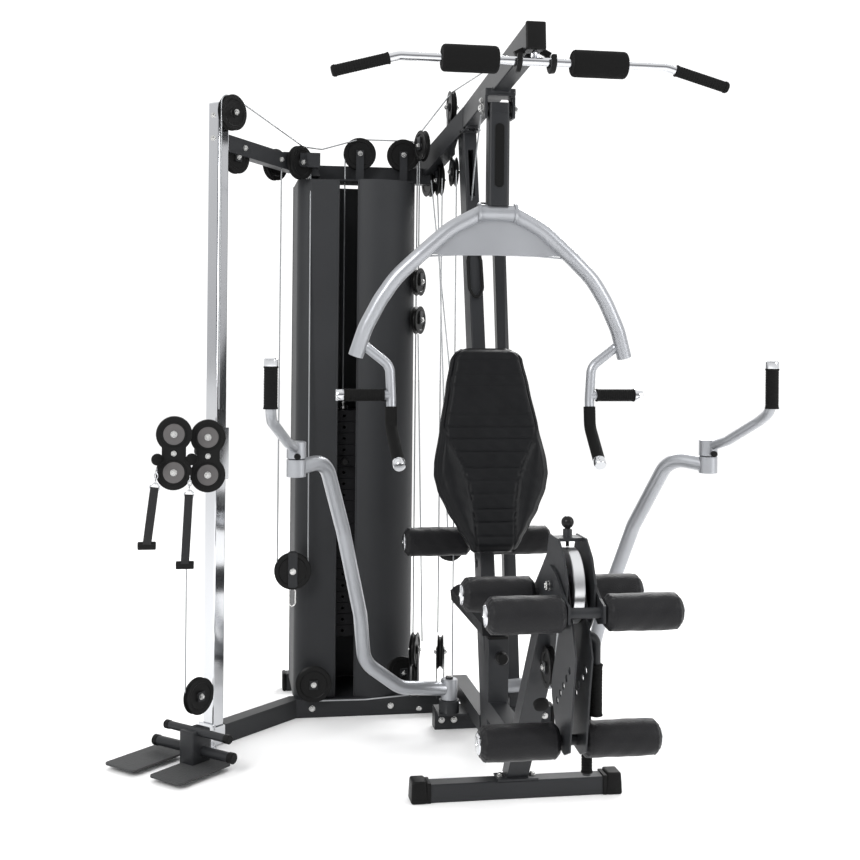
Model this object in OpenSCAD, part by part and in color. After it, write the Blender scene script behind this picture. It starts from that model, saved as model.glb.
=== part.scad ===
// Multi station home gym with a weight stack, press arm, fly arms, lat bar,
// seat, leg developer and cable column.
// Millimetres, +Z up. The origin is the centre of the underside of the front foot bar.

/* [Node] */
// Sub-part to build

/* [Frame] */
// Length of the front foot bar
foot_length = 500; // [460:10:540]
// Half width of the back pad at its widest
pad_half_width = 175; // [160:1:180]
// Length of the seat pad
seat_length = 450; // [400:10:460]

/* [Rollers and grips] */
// Diameter of the leg rollers
roller_d = 85; // [70:1:90]
// Diameter of the waist roller
waist_roller_d = 90; // [80:1:95]
// Diameter of the hand grips
grip_d = 35; // [34:0.5:38]
// Diameter of the foam sleeves on the lat bar
lat_foam_d = 72; // [60:1:76]

/* [Weight stack] */
// Plates that stay down when the pin is in the fifth plate
rest_plate_count = 15; // [10:1:15]
// Diameter of the guide rods
guide_rod_d = 20; // [18:1:20]

/* [Pulleys and cables] */
// Diameter of the large pulleys
pulley_d = 110; // [104:1:112]
// Diameter of the coated steel cable
cable_d = 5; // [4:0.5:5]

/* [Hidden] */

$fn = 48;
clear = 0.3;
lean_angle = 14.036;
boom_drop = 74;
boom_run = 868;
mast_front = 250;
mast_depth = 97;
groove_depth = 8;
pulley_w = 20;
wrap_r = pulley_d / 2 - groove_depth + cable_d / 2 + 0.4;
axle_d = 10;
pivot_y = -520;
pivot_z = 680;
stack_x = -395;
stack_y = 920;
plate_pitch = 37.9;
plate_t = 36.9;
plates_floor = 247;
rest_top = plates_floor + rest_plate_count * plate_pitch;
lift_top = rest_top + 5 * plate_pitch;
rod_gap = 70;
column_x = -820;
column_y = 557;
column_top = 1966;
fly_x = 82;
fly_y = 575;
press_y = 306;
press_z = 1936;
left_pin = [-135, 8];
right_pin = [-70, -40];
swivel_d = 10;
strap_y = 362;
strap_z = 893;
steel = [0.27, 0.28, 0.29];
silver = [0.72, 0.73, 0.74];
black = [0.07, 0.07, 0.08];
bright = [0.86, 0.87, 0.88];
foam_black = [0.1, 0.1, 0.11];

// Straight round bar from point a to point b.
module rod(a, b, d) {
    v = b - a;
    translate(a)
        rotate([0, acos(v[2] / norm(v)), atan2(v[1], v[0])])
            cylinder(d = d, h = norm(v));
}

// Round bar that runs through a list of points.
module bent_rod(points, d) {
    for (i = [0 : len(points) - 2])
        rod(points[i], points[i + 1], d);
    for (i = [1 : len(points) - 2])
        translate(points[i])
            sphere(d = d + 0.4);
}

// Straight box bar: w is the level width, h the depth in the plane of its slope.
module box_bar(a, b, w, h) {
    v = b - a;
    translate(a)
        rotate([0, acos(v[2] / norm(v)), atan2(v[1], v[0])])
            translate([-h / 2, -w / 2, 0])
                cube([h, w, norm(v)]);
}

// Box between two corners.
module block(lo, hi) {
    translate(lo)
        cube(hi - lo);
}

// Plate in the YZ plane between x0 and x1, drawn as [y, z] points.
module side_plate(x0, x1, points) {
    translate([x0, 0, 0])
        rotate([90, 0, 90])
            linear_extrude(height = x1 - x0)
                polygon(points);
}

// Round disc or hole along X.
module x_round(x0, x1, y, z, d) {
    translate([x0, y, z])
        rotate([0, 90, 0])
            cylinder(d = d, h = x1 - x0);
}

// Round disc or hole along Y.
module y_round(y0, y1, x, z, d) {
    translate([x, y1, z])
        rotate([90, 0, 0])
            cylinder(d = d, h = y1 - y0);
}

// Places children in the leaning plane of the mast.
module on_mast() {
    translate([0, mast_front, 0])
        rotate([-lean_angle, 0, 0])
            children();
}

// Places children along the tower direction, 45 degrees from X, at the column.
module at_column() {
    translate([column_x, column_y, 0])
        rotate([0, 0, 45])
            children();
}

// Grooved pulley about the Z axis with a clearance bore.
module grooved_wheel(d, w) {
    rotate_extrude($fn = 64)
        polygon([[axle_d / 2 + 0.05, -w / 2], [d / 2, -w / 2], [d / 2 - groove_depth, -3.2],
                 [d / 2 - groove_depth, 3.2], [d / 2, w / 2], [axle_d / 2 + 0.05, w / 2]]);
}

// Pulley with its axis turned by az about Z, from +X.
module pulley(p, az, d = pulley_d) {
    translate(p)
        rotate([0, 90, az])
            grooved_wheel(d, pulley_w);
}

// Two cheeks and an axle that hold a pulley, reaching from its hub to a level.
module fork(p, az, reach, width = 26) {
    length = abs(reach);
    translate(p)
        rotate([0, 0, az]) {
            for (s = [-1, 1])
                difference() {
                    translate([s * 13 - 1.5, -width / 2, reach > 0 ? -12 : -length])
                        cube([3, width, length + 12]);
                    translate([s * 13 - 3, 0, 0])
                        rotate([0, 90, 0])
                            cylinder(d = axle_d + 0.1, h = 6);
                }
            rotate([0, 90, 0])
                translate([0, 0, -20])
                    cylinder(d = axle_d, h = 40);
        }
}

// Hollow sleeve around a bar.
module sleeve(a, b, outer, inner) {
    u = (b - a) / norm(b - a);
    difference() {
        rod(a, b, outer);
        rod(a - u, b + u, inner);
    }
}

module foot_bar() {
    color(steel)
        block([-foot_length / 2, -25, 0], [foot_length / 2, 25, 50]);
}

module end_caps() {
    color(black) {
        for (s = [-1, 1])
            translate([s * (foot_length / 2 + 22.5), 0, 30])
                cube([45, 62, 60], center = true);
        block([-579, 1108, 0], [-567, 1162, 62]);
        block([260, 603, 0], [272, 657, 62]);
        translate([0, -140, 2052])
            rotate([-atan(boom_drop / boom_run), 0, 0])
                translate([0, -6.05, 0])
                    cube([54, 12, 74], center = true);
    }
}

module front_post() {
    color(steel)
        difference() {
            union() {
                block([-57, -30, 50], [57, 30, 56]);
                intersection() {
                    box_bar([0, 24, 36], [0, -400, 650], 60, 50);
                    block([-40, -500, 56], [40, 100, 700]);
                }
                difference() {
                    block([-25, -60, 130], [25, 330, 190]);
                    on_mast()
                        block([-40, 0, 0], [40, 200, 400]);
                }
                block([-30, 230, 190], [30, 290, 375]);
            }
            block([-22.3, 237.7, 200], [22.3, 282.3, 380]);
            x_round(-40, 40, -360, 630, 25.1);
        }
}

module mast() {
    color(steel)
        difference() {
            intersection() {
                on_mast()
                    block([-22, 0, -50], [22, mast_depth, 2100]);
                block([-60, 0, 60], [60, 900, 1932]);
            }
            on_mast() {
                block([-15.3, -5, 900 - 20.3], [15.3, 82, 900 + 20.3]);
                block([-9, -5, 1770], [9, 60, 1930]);
                x_round(-40, 40, 60, 590, 25.1);
            }
        }
    color(steel)
        difference() {
            block([-30, 700, 1932], [30, 850, 1938]);
            block([-9, 600, 1900], [9, 720, 1950]);
        }
}

module rear_post() {
    color(steel) {
        intersection() {
            box_bar([140, 609, -50], [140, 960, 1850], 40, 40);
            block([100, 500, 60], [180, 1100, 1720]);
        }
        side_plate(22.2, 25.2, [[800, 1690], [950, 1690], [950, 1830], [800, 1830]]);
        block([25.2, 895, 1700], [121, 898, 1718]);
        block([25.2, 640, 300], [121, 643, 400]);
        side_plate(22.2, 25.2, [[360, 300], [643, 300], [643, 400], [400, 400]]);
    }
}

module base_frame() {
    color(steel) {
        block([-122, 605, 0], [260, 655, 60]);
        difference() {
            block([-25, 330, 60], [25, 835, 110]);
            on_mast()
                block([-60, -100, -100], [60, mast_depth, 400]);
        }
        for (s = [-1, 1]) {
            translate([s * fly_x, fly_y, 60])
                cylinder(d = 64, h = 44.5);
            translate([s * fly_x, fly_y, 104])
                cylinder(d = 24, h = 72);
            translate([s * 72.2, 600, 63])
                cube([94.4, 110, 6], center = true);
        }
    }
}

module stack_rail() {
    color(steel)
        difference() {
            union() {
                block([-565, 785, 0], [-22.2, 835, 60]);
                intersection() {
                    box_bar([-545, 827, 30], [-800, 572, 30], 50, 60);
                    block([-900, 400, 0], [-400, 835, 60]);
                }
                block([-420, 835, 0], [-370, 1110, 48]);
                block([-490, 835, 48], [-300, 1110, 60]);
                block([-567, 1110, 0], [-200, 1160, 60]);
            }
            at_column()
                block([-30, -30, -5], [23, 30, 70]);
        }
}

module boom_front() {
    color(steel)
        difference() {
            union() {
                box_bar([0, -140, 2052], [0, boom_run - 140, 2052 - boom_drop], 50, 70);
                side_plate(-46, -38, [[276, 1905], [336, 1905], [336, 1975], [276, 1975]]);
                side_plate(38, 46, [[276, 1905], [336, 1905], [336, 1975], [276, 1975]]);
                block([-46, 270, 1970], [46, 342, 1992]);
                block([-20, 690, 1938.2], [20, 718, 1960]);
            }
            x_round(-60, 60, press_y, press_z, 16.1);
            block([-12, -100, 2000], [12, -44, 2070]);
            block([-3.5, -160, 1990], [3.5, -70, 2040]);
        }
}

// Sloping box bar from the mast head to the stack head.
module rear_bar() {
    box_bar([10, 712, 1990], [-125, 1030, 1815], 50, 70);
}

module boom_rear() {
    color(steel)
        difference() {
            union() {
                difference() {
                    rear_bar();
                    block([-200, 600, 1700], [100, 731.4, 2200]);
                }
                block([-520, 960, 1782], [-90, 1010, 1836]);
                block([-520, 880, 1776], [-165, 1010, 1782]);
            }
            block([-32, 690, 1700], [60, 860, 1938.2]);
            translate([stack_x, stack_y, 1770])
                cylinder(d = 14, h = 20);
        }
}

module tower_arm() {
    color(steel)
        difference() {
            union() {
                box_bar([-812, 565, 1846], [-575, 802, 1813], 40, 52);
                block([-612, 780, 1806], [-490, 836, 1854]);
                block([-518, 820, 1782], [-488, 959.8, 1846]);
            }
            at_column()
                block([-60, -32, 1700], [22.7, 32, 2000]);
        }
}

module cable_column() {
    color(bright)
        at_column()
            difference() {
                block([-22.5, -22.5, 0], [22.5, 22.5, column_top]);
                block([-20, -20, 3], [20, 20, column_top - 3]);
            }
}

module column_foot() {
    color(bright)
        at_column() {
            block([-60, -40, 0], [-23, 40, 6]);
            block([-29, -34, 6], [-23, 34, 70]);
            block([-22.5, -29, 20], [22.5, -23, 60]);
            block([-22.5, 23, 20], [22.5, 29, 60]);
        }
}

module tread_frame() {
    color(black) {
        rod([-993, 472, 50], [-759, 259, 50], 29);
        rod([-957, 421, 110], [-773, 242, 110], 23);
        translate([-872, 350, 57])
            rotate([0, 0, 45])
                cube([70, 60, 114], center = true);
        difference() {
            box_bar([-872, 350, 20], [-860, 517, 20], 50, 30);
            at_column()
                block([-60.5, -60, -5], [60, 60, 70]);
        }
    }
}

module tread_plates() {
    color(black)
        difference() {
            union() {
                translate([-882, 280, 17])
                    rotate([0, 0, 46])
                        cube([212, 124, 6], center = true);
                translate([-1014, 404, 17])
                    rotate([0, 0, 46])
                        cube([212, 124, 6], center = true);
            }
            box_bar([-872, 340, 20], [-860, 517, 20], 50.6, 60);
            translate([-872, 350, 57])
                rotate([0, 0, 45])
                    cube([72, 62, 130], center = true);
        }
}

module guide_rods() {
    color(bright)
        for (s = [-1, 1])
            translate([stack_x + s * rod_gap, stack_y, 60])
                cylinder(d = guide_rod_d, h = 1716);
}

module stack_buffers() {
    color(black)
        for (s = [-1, 1])
            translate([stack_x + s * rod_gap, stack_y, 60])
                difference() {
                    cylinder(d = 46, h = plates_floor - 60);
                    translate([0, 0, -1])
                        cylinder(d = guide_rod_d + 0.6, h = 300);
                }
}

// One iron plate of the stack with its three holes.
module iron_plate(z) {
    difference() {
        block([stack_x - 125, stack_y - 60, z], [stack_x + 125, stack_y + 60, z + plate_t]);
        for (s = [-1, 1])
            translate([stack_x + s * rod_gap, stack_y, z - 1])
                cylinder(d = guide_rod_d + 2, h = 60);
        translate([stack_x, stack_y, z - 1])
            cylinder(d = 17, h = 60);
        y_round(stack_y - 70, stack_y, stack_x, z + plate_t / 2, 9);
    }
}

module rest_plates() {
    color(black)
        for (i = [0 : rest_plate_count - 1])
            iron_plate(plates_floor + i * plate_pitch);
}

module lift_plates() {
    color(black)
        for (i = [0 : 4])
            iron_plate(rest_top + i * plate_pitch);
}

module selector_stem() {
    color(bright)
        difference() {
            union() {
                translate([stack_x, stack_y, plates_floor + 20])
                    cylinder(d = 16, h = lift_top + 30 - plates_floor - 20);
                translate([stack_x, stack_y, lift_top])
                    cylinder(d = 40, h = 12);
                translate([stack_x, stack_y, lift_top + 30])
                    cylinder(d = 22, h = 34);
            }
            for (i = [0 : rest_plate_count + 4])
                y_round(stack_y - 30, stack_y + 30, stack_x,
                        plates_floor + i * plate_pitch + plate_t / 2, 8.6);
        }
}

module selector_pin() {
    pin_z = rest_top + plate_t / 2;
    color(bright)
        y_round(stack_y - 75, stack_y + 6, stack_x, pin_z, 8);
    color(black)
        y_round(stack_y - 100, stack_y - 75, stack_x, pin_z, 24);
}

module shroud_left() {
    color(steel)
        translate([0, 0, 60.2])
            linear_extrude(height = 1710) {
                translate([-515, 800])
                    square([90, 3]);
                intersection() {
                    translate([-515, 845])
                        difference() {
                            circle(r = 45);
                            circle(r = 42);
                        }
                    translate([-560, 800])
                        square([45, 45]);
                }
                translate([-560, 845])
                    square([3, 215]);
                translate([-560, 1057])
                    square([285, 3]);
            }
}

module shroud_right() {
    color(steel)
        translate([-295, 925, 60.2])
            rotate([0, 0, -118])
                rotate_extrude(angle = 205, $fn = 96)
                    translate([137, 0])
                        square([3, 1714]);
}

module leg_head() {
    outline = [[-520, 578], [-470, 580], [-330, 560], [-318, 640], [-380, 690], [-440, 740],
               [-462, 792], [-540, 792], [-590, 755], [-620, 700], [-612, 630], [-575, 590]];
    color(steel)
        difference() {
            union() {
                side_plate(-36, -30.1, outline);
                side_plate(30.1, 36, outline);
                block([-30.1, -520, 782], [30.1, -474, 790]);
            }
            x_round(-60, 60, pivot_y, pivot_z, 20.1);
            x_round(-60, 60, -360, 630, 25.1);
            translate([0, -497, 770])
                cylinder(d = 8.4, h = 40);
        }
    color(bright)
        translate([0, -497, 790])
            difference() {
                cylinder(d = 22, h = 18);
                translate([0, 0, -1])
                    cylinder(d = 8.4, h = 40);
            }
}

// Pair of foam rollers on one tube along X.
module roller_pair(y, z, d, x0, x1, tube = 25) {
    color(bright)
        x_round(-x1 - 4, x1 + 4, y, z, tube);
    color(foam_black)
        for (s = [-1, 1])
            translate([s > 0 ? x0 : -x1, y, z])
                rotate([0, 90, 0])
                    cylinder(d = d, h = x1 - x0);
}

module knee_rollers() {
    roller_pair(-360, 630, roller_d, 48, 225);
}

module waist_roller() {
    on_mast()
        roller_pair(60, 590, 25, 150, 151);
    color(foam_black)
        for (s = [-1, 1])
            translate([s > 0 ? 28 : -232, 553, 610])
                rotate([0, 90, 0])
                    cylinder(d = waist_roller_d, h = 204);
}

module frame_bolts() {
    color(bright) {
        for (s = [-1, 1])
            translate([s * 45, 0, 56])
                cylinder(d = 17, h = 8);
        for (s = [-1, 1])
            x_round(s > 0 ? 46.2 : -56, s > 0 ? 56 : -46.2, 322, 1965, 14);
        for (y = [-345, -385], s = [-1, 1])
            x_round(s > 0 ? 36 : -43, s > 0 ? 43 : -36, y, 595, 14);
        y_round(597, 605, -60, 30, 17);
        y_round(597, 605, 200, 30, 17);
        y_round(777, 785, -240, 30, 17);
    }
}

module pulley_brackets() {
    color(steel) {
        fork([stack_x + wrap_r, stack_y, 1873], 90, -91);
        fork([-196, stack_y, 1873], 90, -91);
        difference() {
            fork([-44, 836, 2030], 0, -75);
            rear_bar();
        }
        at_column() {
            translate([20, -22.6, 1936])
                rotate([90, 0, 0])
                    cylinder(d = axle_d, h = 30);
            block([-72, -16, 160], [-22.6, -12, 185]);
        }
    }
}

// Part turn of cable in a pulley groove, about the Z axis.
module cable_wrap(from, angle) {
    rotate([0, 0, from])
        rotate_extrude(angle = angle)
            translate([wrap_r, 0])
                circle(d = cable_d);
}

module cable_stack() {
    color(bright) {
        translate([stack_x + wrap_r, stack_y, 1873])
            rotate([90, 0, 0])
                cable_wrap(90, 90);
        rod([stack_x + wrap_r, stack_y, 1873 + wrap_r], [-196, stack_y, 1873 + wrap_r], cable_d);
        translate([-196, stack_y, 1873])
            rotate([90, 0, 0])
                cable_wrap(0, 90);
        rod([wrap_r - 196, stack_y, 200], [wrap_r - 196, stack_y, 1873], cable_d);
    }
}

module cable_lat_run() {
    color(bright) {
        rod([-44, 600, 2030 + wrap_r], [-44, 836, 2030 + wrap_r], cable_d);
        translate([-44, 836, 2030])
            rotate([90, 0, 90])
                cable_wrap(0, 90);
        rod([-44, 836 + wrap_r, 1960], [-44, 836 + wrap_r, 2030], cable_d);
    }
}

module cable_tower() {
    slope = 19.8;
    top = [20 + wrap_r * sin(slope), -37.6, 1936 + wrap_r * cos(slope)];
    color(bright)
        at_column() {
            rod([20 - wrap_r, -37.6, 1024], [20 - wrap_r, -37.6, 1936], cable_d);
            translate([20, -37.6, 1936])
                rotate([90, 0, 0])
                    cable_wrap(90.3 - slope, 89.4 + slope);
            rod(top, top + 330 * [cos(slope), 0, -sin(slope)], cable_d);
        }
}

module cable_low() {
    color(bright)
        rod([-903, 452, 770], [-903, 452, 180], cable_d);
}

module cable_lift() {
    color(bright)
        translate([stack_x, stack_y, lift_top + 64])
            cylinder(d = cable_d, h = 1873 - lift_top - 64);
}

module lat_bar() {
    color(bright) {
        bent_rod([[-525, -140, 1940], [-362, -140, 1985], [362, -140, 1985], [525, -140, 1940]], 23);
        translate([0, -140, 1999])
            rotate([0, 90, 0])
                rotate_extrude()
                    translate([8, 0])
                        circle(d = 5);
    }
}

module lat_foams() {
    color(foam_black)
        for (s = [-1, 1])
            sleeve([s * 100, -140, 1985], [s * 250, -140, 1985], lat_foam_d, 23.4);
}

module cable_lat_drop() {
    color(bright)
        translate([0, -140, 2012.4])
            cylinder(d = cable_d, h = 1.5);
}

module press_frame() {
    color(silver)
        difference() {
            union() {
                block([-32, press_y - 26, 1640], [32, press_y + 26, 1954]);
                x_round(-60, 60, press_y, 1626, 50);
                for (s = [-1, 1]) {
                    bent_rod([[s * 52, 308, 1625], [s * 231, 310, 1497], [s * 346, 330, 1363],
                              [s * 414, 355, 1197]], 45);
                    bent_rod([[s * 395, 355, 1236], [s * 383, 360, 1224], [s * 307, 360, 1165],
                              [s * 306, 360, 1069], [s * 306, 352, 985], [s * 300, 235, 895]], 30);
                    rod([s * 306, 360, 1081], [s * 472, 360, 1081], 30);
                }
                translate([0, 310, 0])
                    rotate([90, 0, 0])
                        linear_extrude(height = 3)
                            polygon([[-225, 1500], [225, 1500], [120, 1583], [-120, 1583]]);
            }
            x_round(-60, 60, press_y, press_z, 16.1);
        }
    color(bright)
        x_round(-60, 60, press_y, press_z, 16);
}

module press_grips() {
    color(foam_black)
        for (s = [-1, 1]) {
            sleeve([s * 327, 360, 1081], [s * 455, 360, 1081], grip_d + 2, 30.4);
            sleeve([s * 306, 357.8, 1046], [s * 306, 352.7, 992], grip_d + 2, 30.4);
            sleeve([s * 305, 332.5, 970], [s * 300.2, 238.9, 898], grip_d + 2, 30.4);
        }
}

// Left fly arm; the right one is its mirror image.
module fly_arm() {
    color(silver) {
        difference() {
            union() {
                translate([-fly_x, fly_y, 105])
                    cylinder(d = 52, h = 65);
                bent_rod([[-fly_x - 15, fly_y - 4, 150], [-246, 530, 162], [-363, 500, 251], [-380, 450, 398],
                          [-447, 350, 682], [-513, 220, 903], [-585, 145, 890]], 43);
            }
            translate([-fly_x, fly_y, 90])
                cylinder(d = 24.1, h = 90);
            translate([-600, 135, 850])
                cylinder(d = 20.1, h = 80);
        }
        difference() {
            translate([-600, 135, 865])
                cylinder(d = 54, h = 50);
            translate([-600, 135, 850])
                cylinder(d = 20.1, h = 80);
        }
    }
}

module fly_arm_left() {
    fly_arm();
}

module fly_arm_right() {
    mirror([1, 0, 0])
        fly_arm();
}

// Left fly handle; the right one is its mirror image.
module fly_handle() {
    color(silver) {
        translate([-600, 135, 915.4])
            cylinder(d = 54, h = 48);
        translate([-600, 135, 868])
            cylinder(d = 20, h = 50);
        bent_rod([[-605, 118, 945], [-676, -50, 1036], [-683, -115, 1063], [-683, -115, 1200]], 28);
    }
    color(foam_black)
        sleeve([-683, -115, 1078], [-683, -115, 1186], grip_d + 1, 28.4);
}

module fly_handle_left() {
    fly_handle();
}

module fly_handle_right() {
    mirror([1, 0, 0])
        fly_handle();
}

module leg_lever() {
    outline = [[-560, 730], [-480, 730], [-470, 640], [-502, 563], [-444, 442], [-445, 405],
               [-505, 300], [-560, 295], [-603, 314], [-630, 462], [-648, 539], [-600, 640]];
    color(steel)
        difference() {
            union() {
                side_plate(-21, -17, outline);
                side_plate(17, 21, outline);
                for (s = [-1, 1])
                    side_plate(s > 0 ? 38 : -44, s > 0 ? 44 : -38,
                               [[-550, 715], [-500, 725], [-490, 680], [-520, 650], [-620, 610], [-665, 620],
                                [-665, 660], [-630, 670]]);
            }
            x_round(-60, 60, pivot_y, pivot_z, 20.1);
            x_round(-60, 60, -640, 640, 25.1);
            x_round(-60, 60, -530, 320, 25.1);
            for (i = [0 : 4])
                x_round(-60, 60, -600 + i * 26, 500 - i * 24, 18);
        }
    color(bright)
        x_round(-56, 56, pivot_y, pivot_z, 20);
}

module leg_cam() {
    color(silver)
        difference() {
            x_round(-15, 15, pivot_y, pivot_z, 176);
            x_round(-16, 16, pivot_y, pivot_z, 20.1);
            translate([-16, pivot_y, pivot_z])
                rotate([0, 90, 0])
                    translate([0, 0, 13])
                        rotate_extrude($fn = 96)
                            translate([82, 0])
                                square([10, 6]);
        }
}

module leg_rollers() {
    roller_pair(-640, 640, roller_d, 48, 225);
    roller_pair(-530, 320, roller_d, 28, 215);
}

module leg_pin() {
    color(bright)
        translate([0, -497, 767])
            cylinder(d = 8, h = 48);
    color(black)
        translate([0, -497, 824])
            sphere(d = 30);
}

module curl_handles() {
    color(steel) {
        x_round(21.1, 72, -540, 565, 22);
        rod([60, -540, 380], [60, -540, 565], 24);
        x_round(21.1, 72, -468, 435, 22);
        rod([60, -472, 215], [60, -468, 435], 24);
    }
}

module seat_post() {
    color(steel) {
        block([-22, 238, 215], [22, 282, 470]);
        block([-60, 60, 470], [60, 285, 487.8]);
    }
}

module seat_pad() {
    color(foam_black)
        translate([0, 250 - seat_length / 2, 488])
            linear_extrude(height = 57)
                difference() {
                    square([284, seat_length], center = true);
                    for (s = [-1, 1], t = [-1, 1])
                        translate([s * 142, t * seat_length / 2])
                            rotate([0, 0, 45])
                                square(40, center = true);
                }
}

module back_carrier() {
    color(steel)
        on_mast() {
            block([-15, -72, 880], [15, 70, 920]);
            block([-50, -77.8, 760], [50, -72, 1060]);
        }
}

module back_pad() {
    w = pad_half_width;
    color(foam_black)
        on_mast()
            translate([0, -78, 0])
                rotate([90, 0, 0])
                    linear_extrude(height = 60)
                        polygon([[-76, 1232], [76, 1232], [102, 1222], [w - 61, 1198],
                                 [w - 46, 1111], [w - 23, 984], [w - 3, 880], [w, 844],
                                 [w - 10, 800], [w - 37, 737], [w - 66, 687], [84, 646],
                                 [60, 611], [-60, 611], [-84, 646], [66 - w, 687],
                                 [37 - w, 737], [10 - w, 800], [-w, 844], [3 - w, 880],
                                 [23 - w, 984], [46 - w, 1111], [61 - w, 1198], [-102, 1222]]);
}

module carriage() {
    color(bright)
        at_column()
            difference() {
                union() {
                    block([-28, -28, 814], [28, 28, 971]);
                    for (z = [830, 960]) {
                        block([-149, -6, z], [-27, 22, z + 11]);
                        block([-84, -40, z], [-56, -5, z + 11]);
                        translate([right_pin[0], right_pin[1], z])
                            cylinder(d = 28, h = 11);
                    }
                }
                for (p = [left_pin, right_pin])
                    translate([p[0], p[1], 820])
                        cylinder(d = swivel_d + 0.1, h = 160);
                block([-22.8, -22.8, 800], [22.8, 22.8, 990]);
                translate([0, 20, 895])
                    rotate([-90, 0, 0])
                        cylinder(d = 10.1, h = 20);
            }
}

module carriage_knob() {
    color(black)
        at_column()
            translate([0, 22.8 + 0.4, 895])
                rotate([-90, 0, 0]) {
                    cylinder(d = 10, h = 30);
                    translate([0, 0, 30])
                        cylinder(d = 34, h = 28);
                }
}

// Twin pulley housing at p that swivels on a pin at a, in the frame of the column.
module head(p, a) {
    axis = [column_x + (a[0] - a[1]) * sin(45), column_y + (a[0] + a[1]) * sin(45), 0];
    color(black) {
        translate(p) {
            for (z = [-56, 56])
                y_round(-13, 13, 0, z, 104);
            translate([-22, -13, -40])
                cube([44, 26, 80]);
        }
        box_bar(p, [axis[0], axis[1], p[2]], 14, 60);
        translate(axis + [0, 0, 841.3])
            cylinder(d = 18, h = 118.4);
        translate(axis + [0, 0, 826])
            cylinder(d = swivel_d, h = 149);
    }
}

module head_left() {
    head([-941, 400, 908], left_pin);
}

module head_right() {
    head([-843, 446, 895], right_pin);
}

module straps() {
    for (strap = [[-987, -1015, 628], [-889, -906, 569]]) {
        color(foam_black)
            translate([strap[0], strap_y, strap_z])
                sphere(d = 35);
        color(bright) {
            x_round(strap[0] - 21, strap[0] + 21, strap_y, strap_z, 8);
            rod([strap[0], strap_y, 848], [strap[0], strap_y, strap_z], 6);
            x_round(strap[0] - 15, strap[0] + 15, strap_y, 848, 12);
        }
        color(black)
            box_bar([strap[0], strap_y, 848], [strap[1], strap_y, strap[2]], 7, 24);
    }
}

module traveller() {
    color(black)
        y_round(740, 760, -570, 490, 119);
    color(steel)
        block([-585, 737, 440], [-555, 739.5, 560]);
    color(bright)
        rod([-570, 738, 385], [-570, 738, 440], 10);
}

module pulley_stack_left() {
    color(black)
        pulley([stack_x + wrap_r, stack_y, 1873], 90);
}

module pulley_stack_right() {
    color(black)
        pulley([-196, stack_y, 1873], 90);
}

module pulley_tower_top() {
    color(black)
        at_column()
            translate([20, -37.6, 1936])
                rotate([90, 0, 0])
                    grooved_wheel(pulley_d, pulley_w);
}

module pulley_boom() {
    color(black)
        pulley([-44, 836, 2030], 0);
}

foot_bar();
end_caps();
front_post();
mast();
rear_post();
base_frame();
stack_rail();
boom_front();
boom_rear();
tower_arm();
cable_column();
column_foot();
tread_frame();
tread_plates();
guide_rods();
stack_buffers();
rest_plates();
shroud_left();
shroud_right();
leg_head();
knee_rollers();
waist_roller();
frame_bolts();
pulley_brackets();
cable_stack();
cable_lat_run();
cable_tower();
cable_low();
lift_plates();
selector_stem();
selector_pin();
cable_lift();
lat_bar();
lat_foams();
cable_lat_drop();
press_frame();
press_grips();
fly_arm_left();
fly_arm_right();
fly_handle_left();
fly_handle_right();
leg_lever();
leg_cam();
leg_rollers();
leg_pin();
curl_handles();
seat_post();
seat_pad();
back_carrier();
back_pad();
carriage();
carriage_knob();
head_left();
head_right();
straps();
traveller();
pulley_stack_left();
pulley_stack_right();
pulley_tower_top();
pulley_boom();
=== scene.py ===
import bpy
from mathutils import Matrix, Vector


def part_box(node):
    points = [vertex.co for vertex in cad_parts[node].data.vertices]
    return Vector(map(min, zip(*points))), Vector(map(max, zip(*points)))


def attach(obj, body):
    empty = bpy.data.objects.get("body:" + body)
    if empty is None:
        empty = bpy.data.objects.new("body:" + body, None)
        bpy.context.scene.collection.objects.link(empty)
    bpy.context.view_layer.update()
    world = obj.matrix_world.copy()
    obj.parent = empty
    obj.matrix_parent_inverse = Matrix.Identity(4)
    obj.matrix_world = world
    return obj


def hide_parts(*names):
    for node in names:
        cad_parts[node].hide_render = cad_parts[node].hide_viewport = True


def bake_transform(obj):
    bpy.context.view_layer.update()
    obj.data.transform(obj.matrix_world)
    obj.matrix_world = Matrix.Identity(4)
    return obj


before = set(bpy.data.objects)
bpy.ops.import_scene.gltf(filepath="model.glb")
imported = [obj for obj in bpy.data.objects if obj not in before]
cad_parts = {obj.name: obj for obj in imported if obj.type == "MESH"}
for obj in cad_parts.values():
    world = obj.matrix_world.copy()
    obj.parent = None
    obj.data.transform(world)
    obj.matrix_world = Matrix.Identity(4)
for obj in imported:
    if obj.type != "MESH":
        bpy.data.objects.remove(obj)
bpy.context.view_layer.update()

import math

import bmesh
import bpy
from mathutils import Matrix, Vector

# -------- front foot bar
# Square steel tube that lies across the front and carries the sloping post.
# Welded steel with an anthracite satin powder coat; every painted bar uses this coat.


def V(x, y, z):
    """A point given in millimetres."""
    return Vector((x, y, z)) * 0.001


def make_group(name, inputs, outputs):
    g = bpy.data.node_groups.new(name, "ShaderNodeTree")
    for label, kind, value in inputs:
        s = g.interface.new_socket(label, in_out="INPUT", socket_type=kind)
        s.default_value = value
    for label, kind in outputs:
        g.interface.new_socket(label, in_out="OUTPUT", socket_type=kind)
    return g, g.nodes.new("NodeGroupInput"), g.nodes.new("NodeGroupOutput")


def wire(g, a, a_out, b, b_in):
    g.links.new(a.outputs[a_out], b.inputs[b_in])


def add(tree, kind, does=None, **values):
    """A shader node with its operation and its input values."""
    node = tree.nodes.new("ShaderNode" + kind)
    if does:
        node.operation = does
    for label, value in values.items():
        node.inputs[label.replace("_", " ")].default_value = value
    return node


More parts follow.
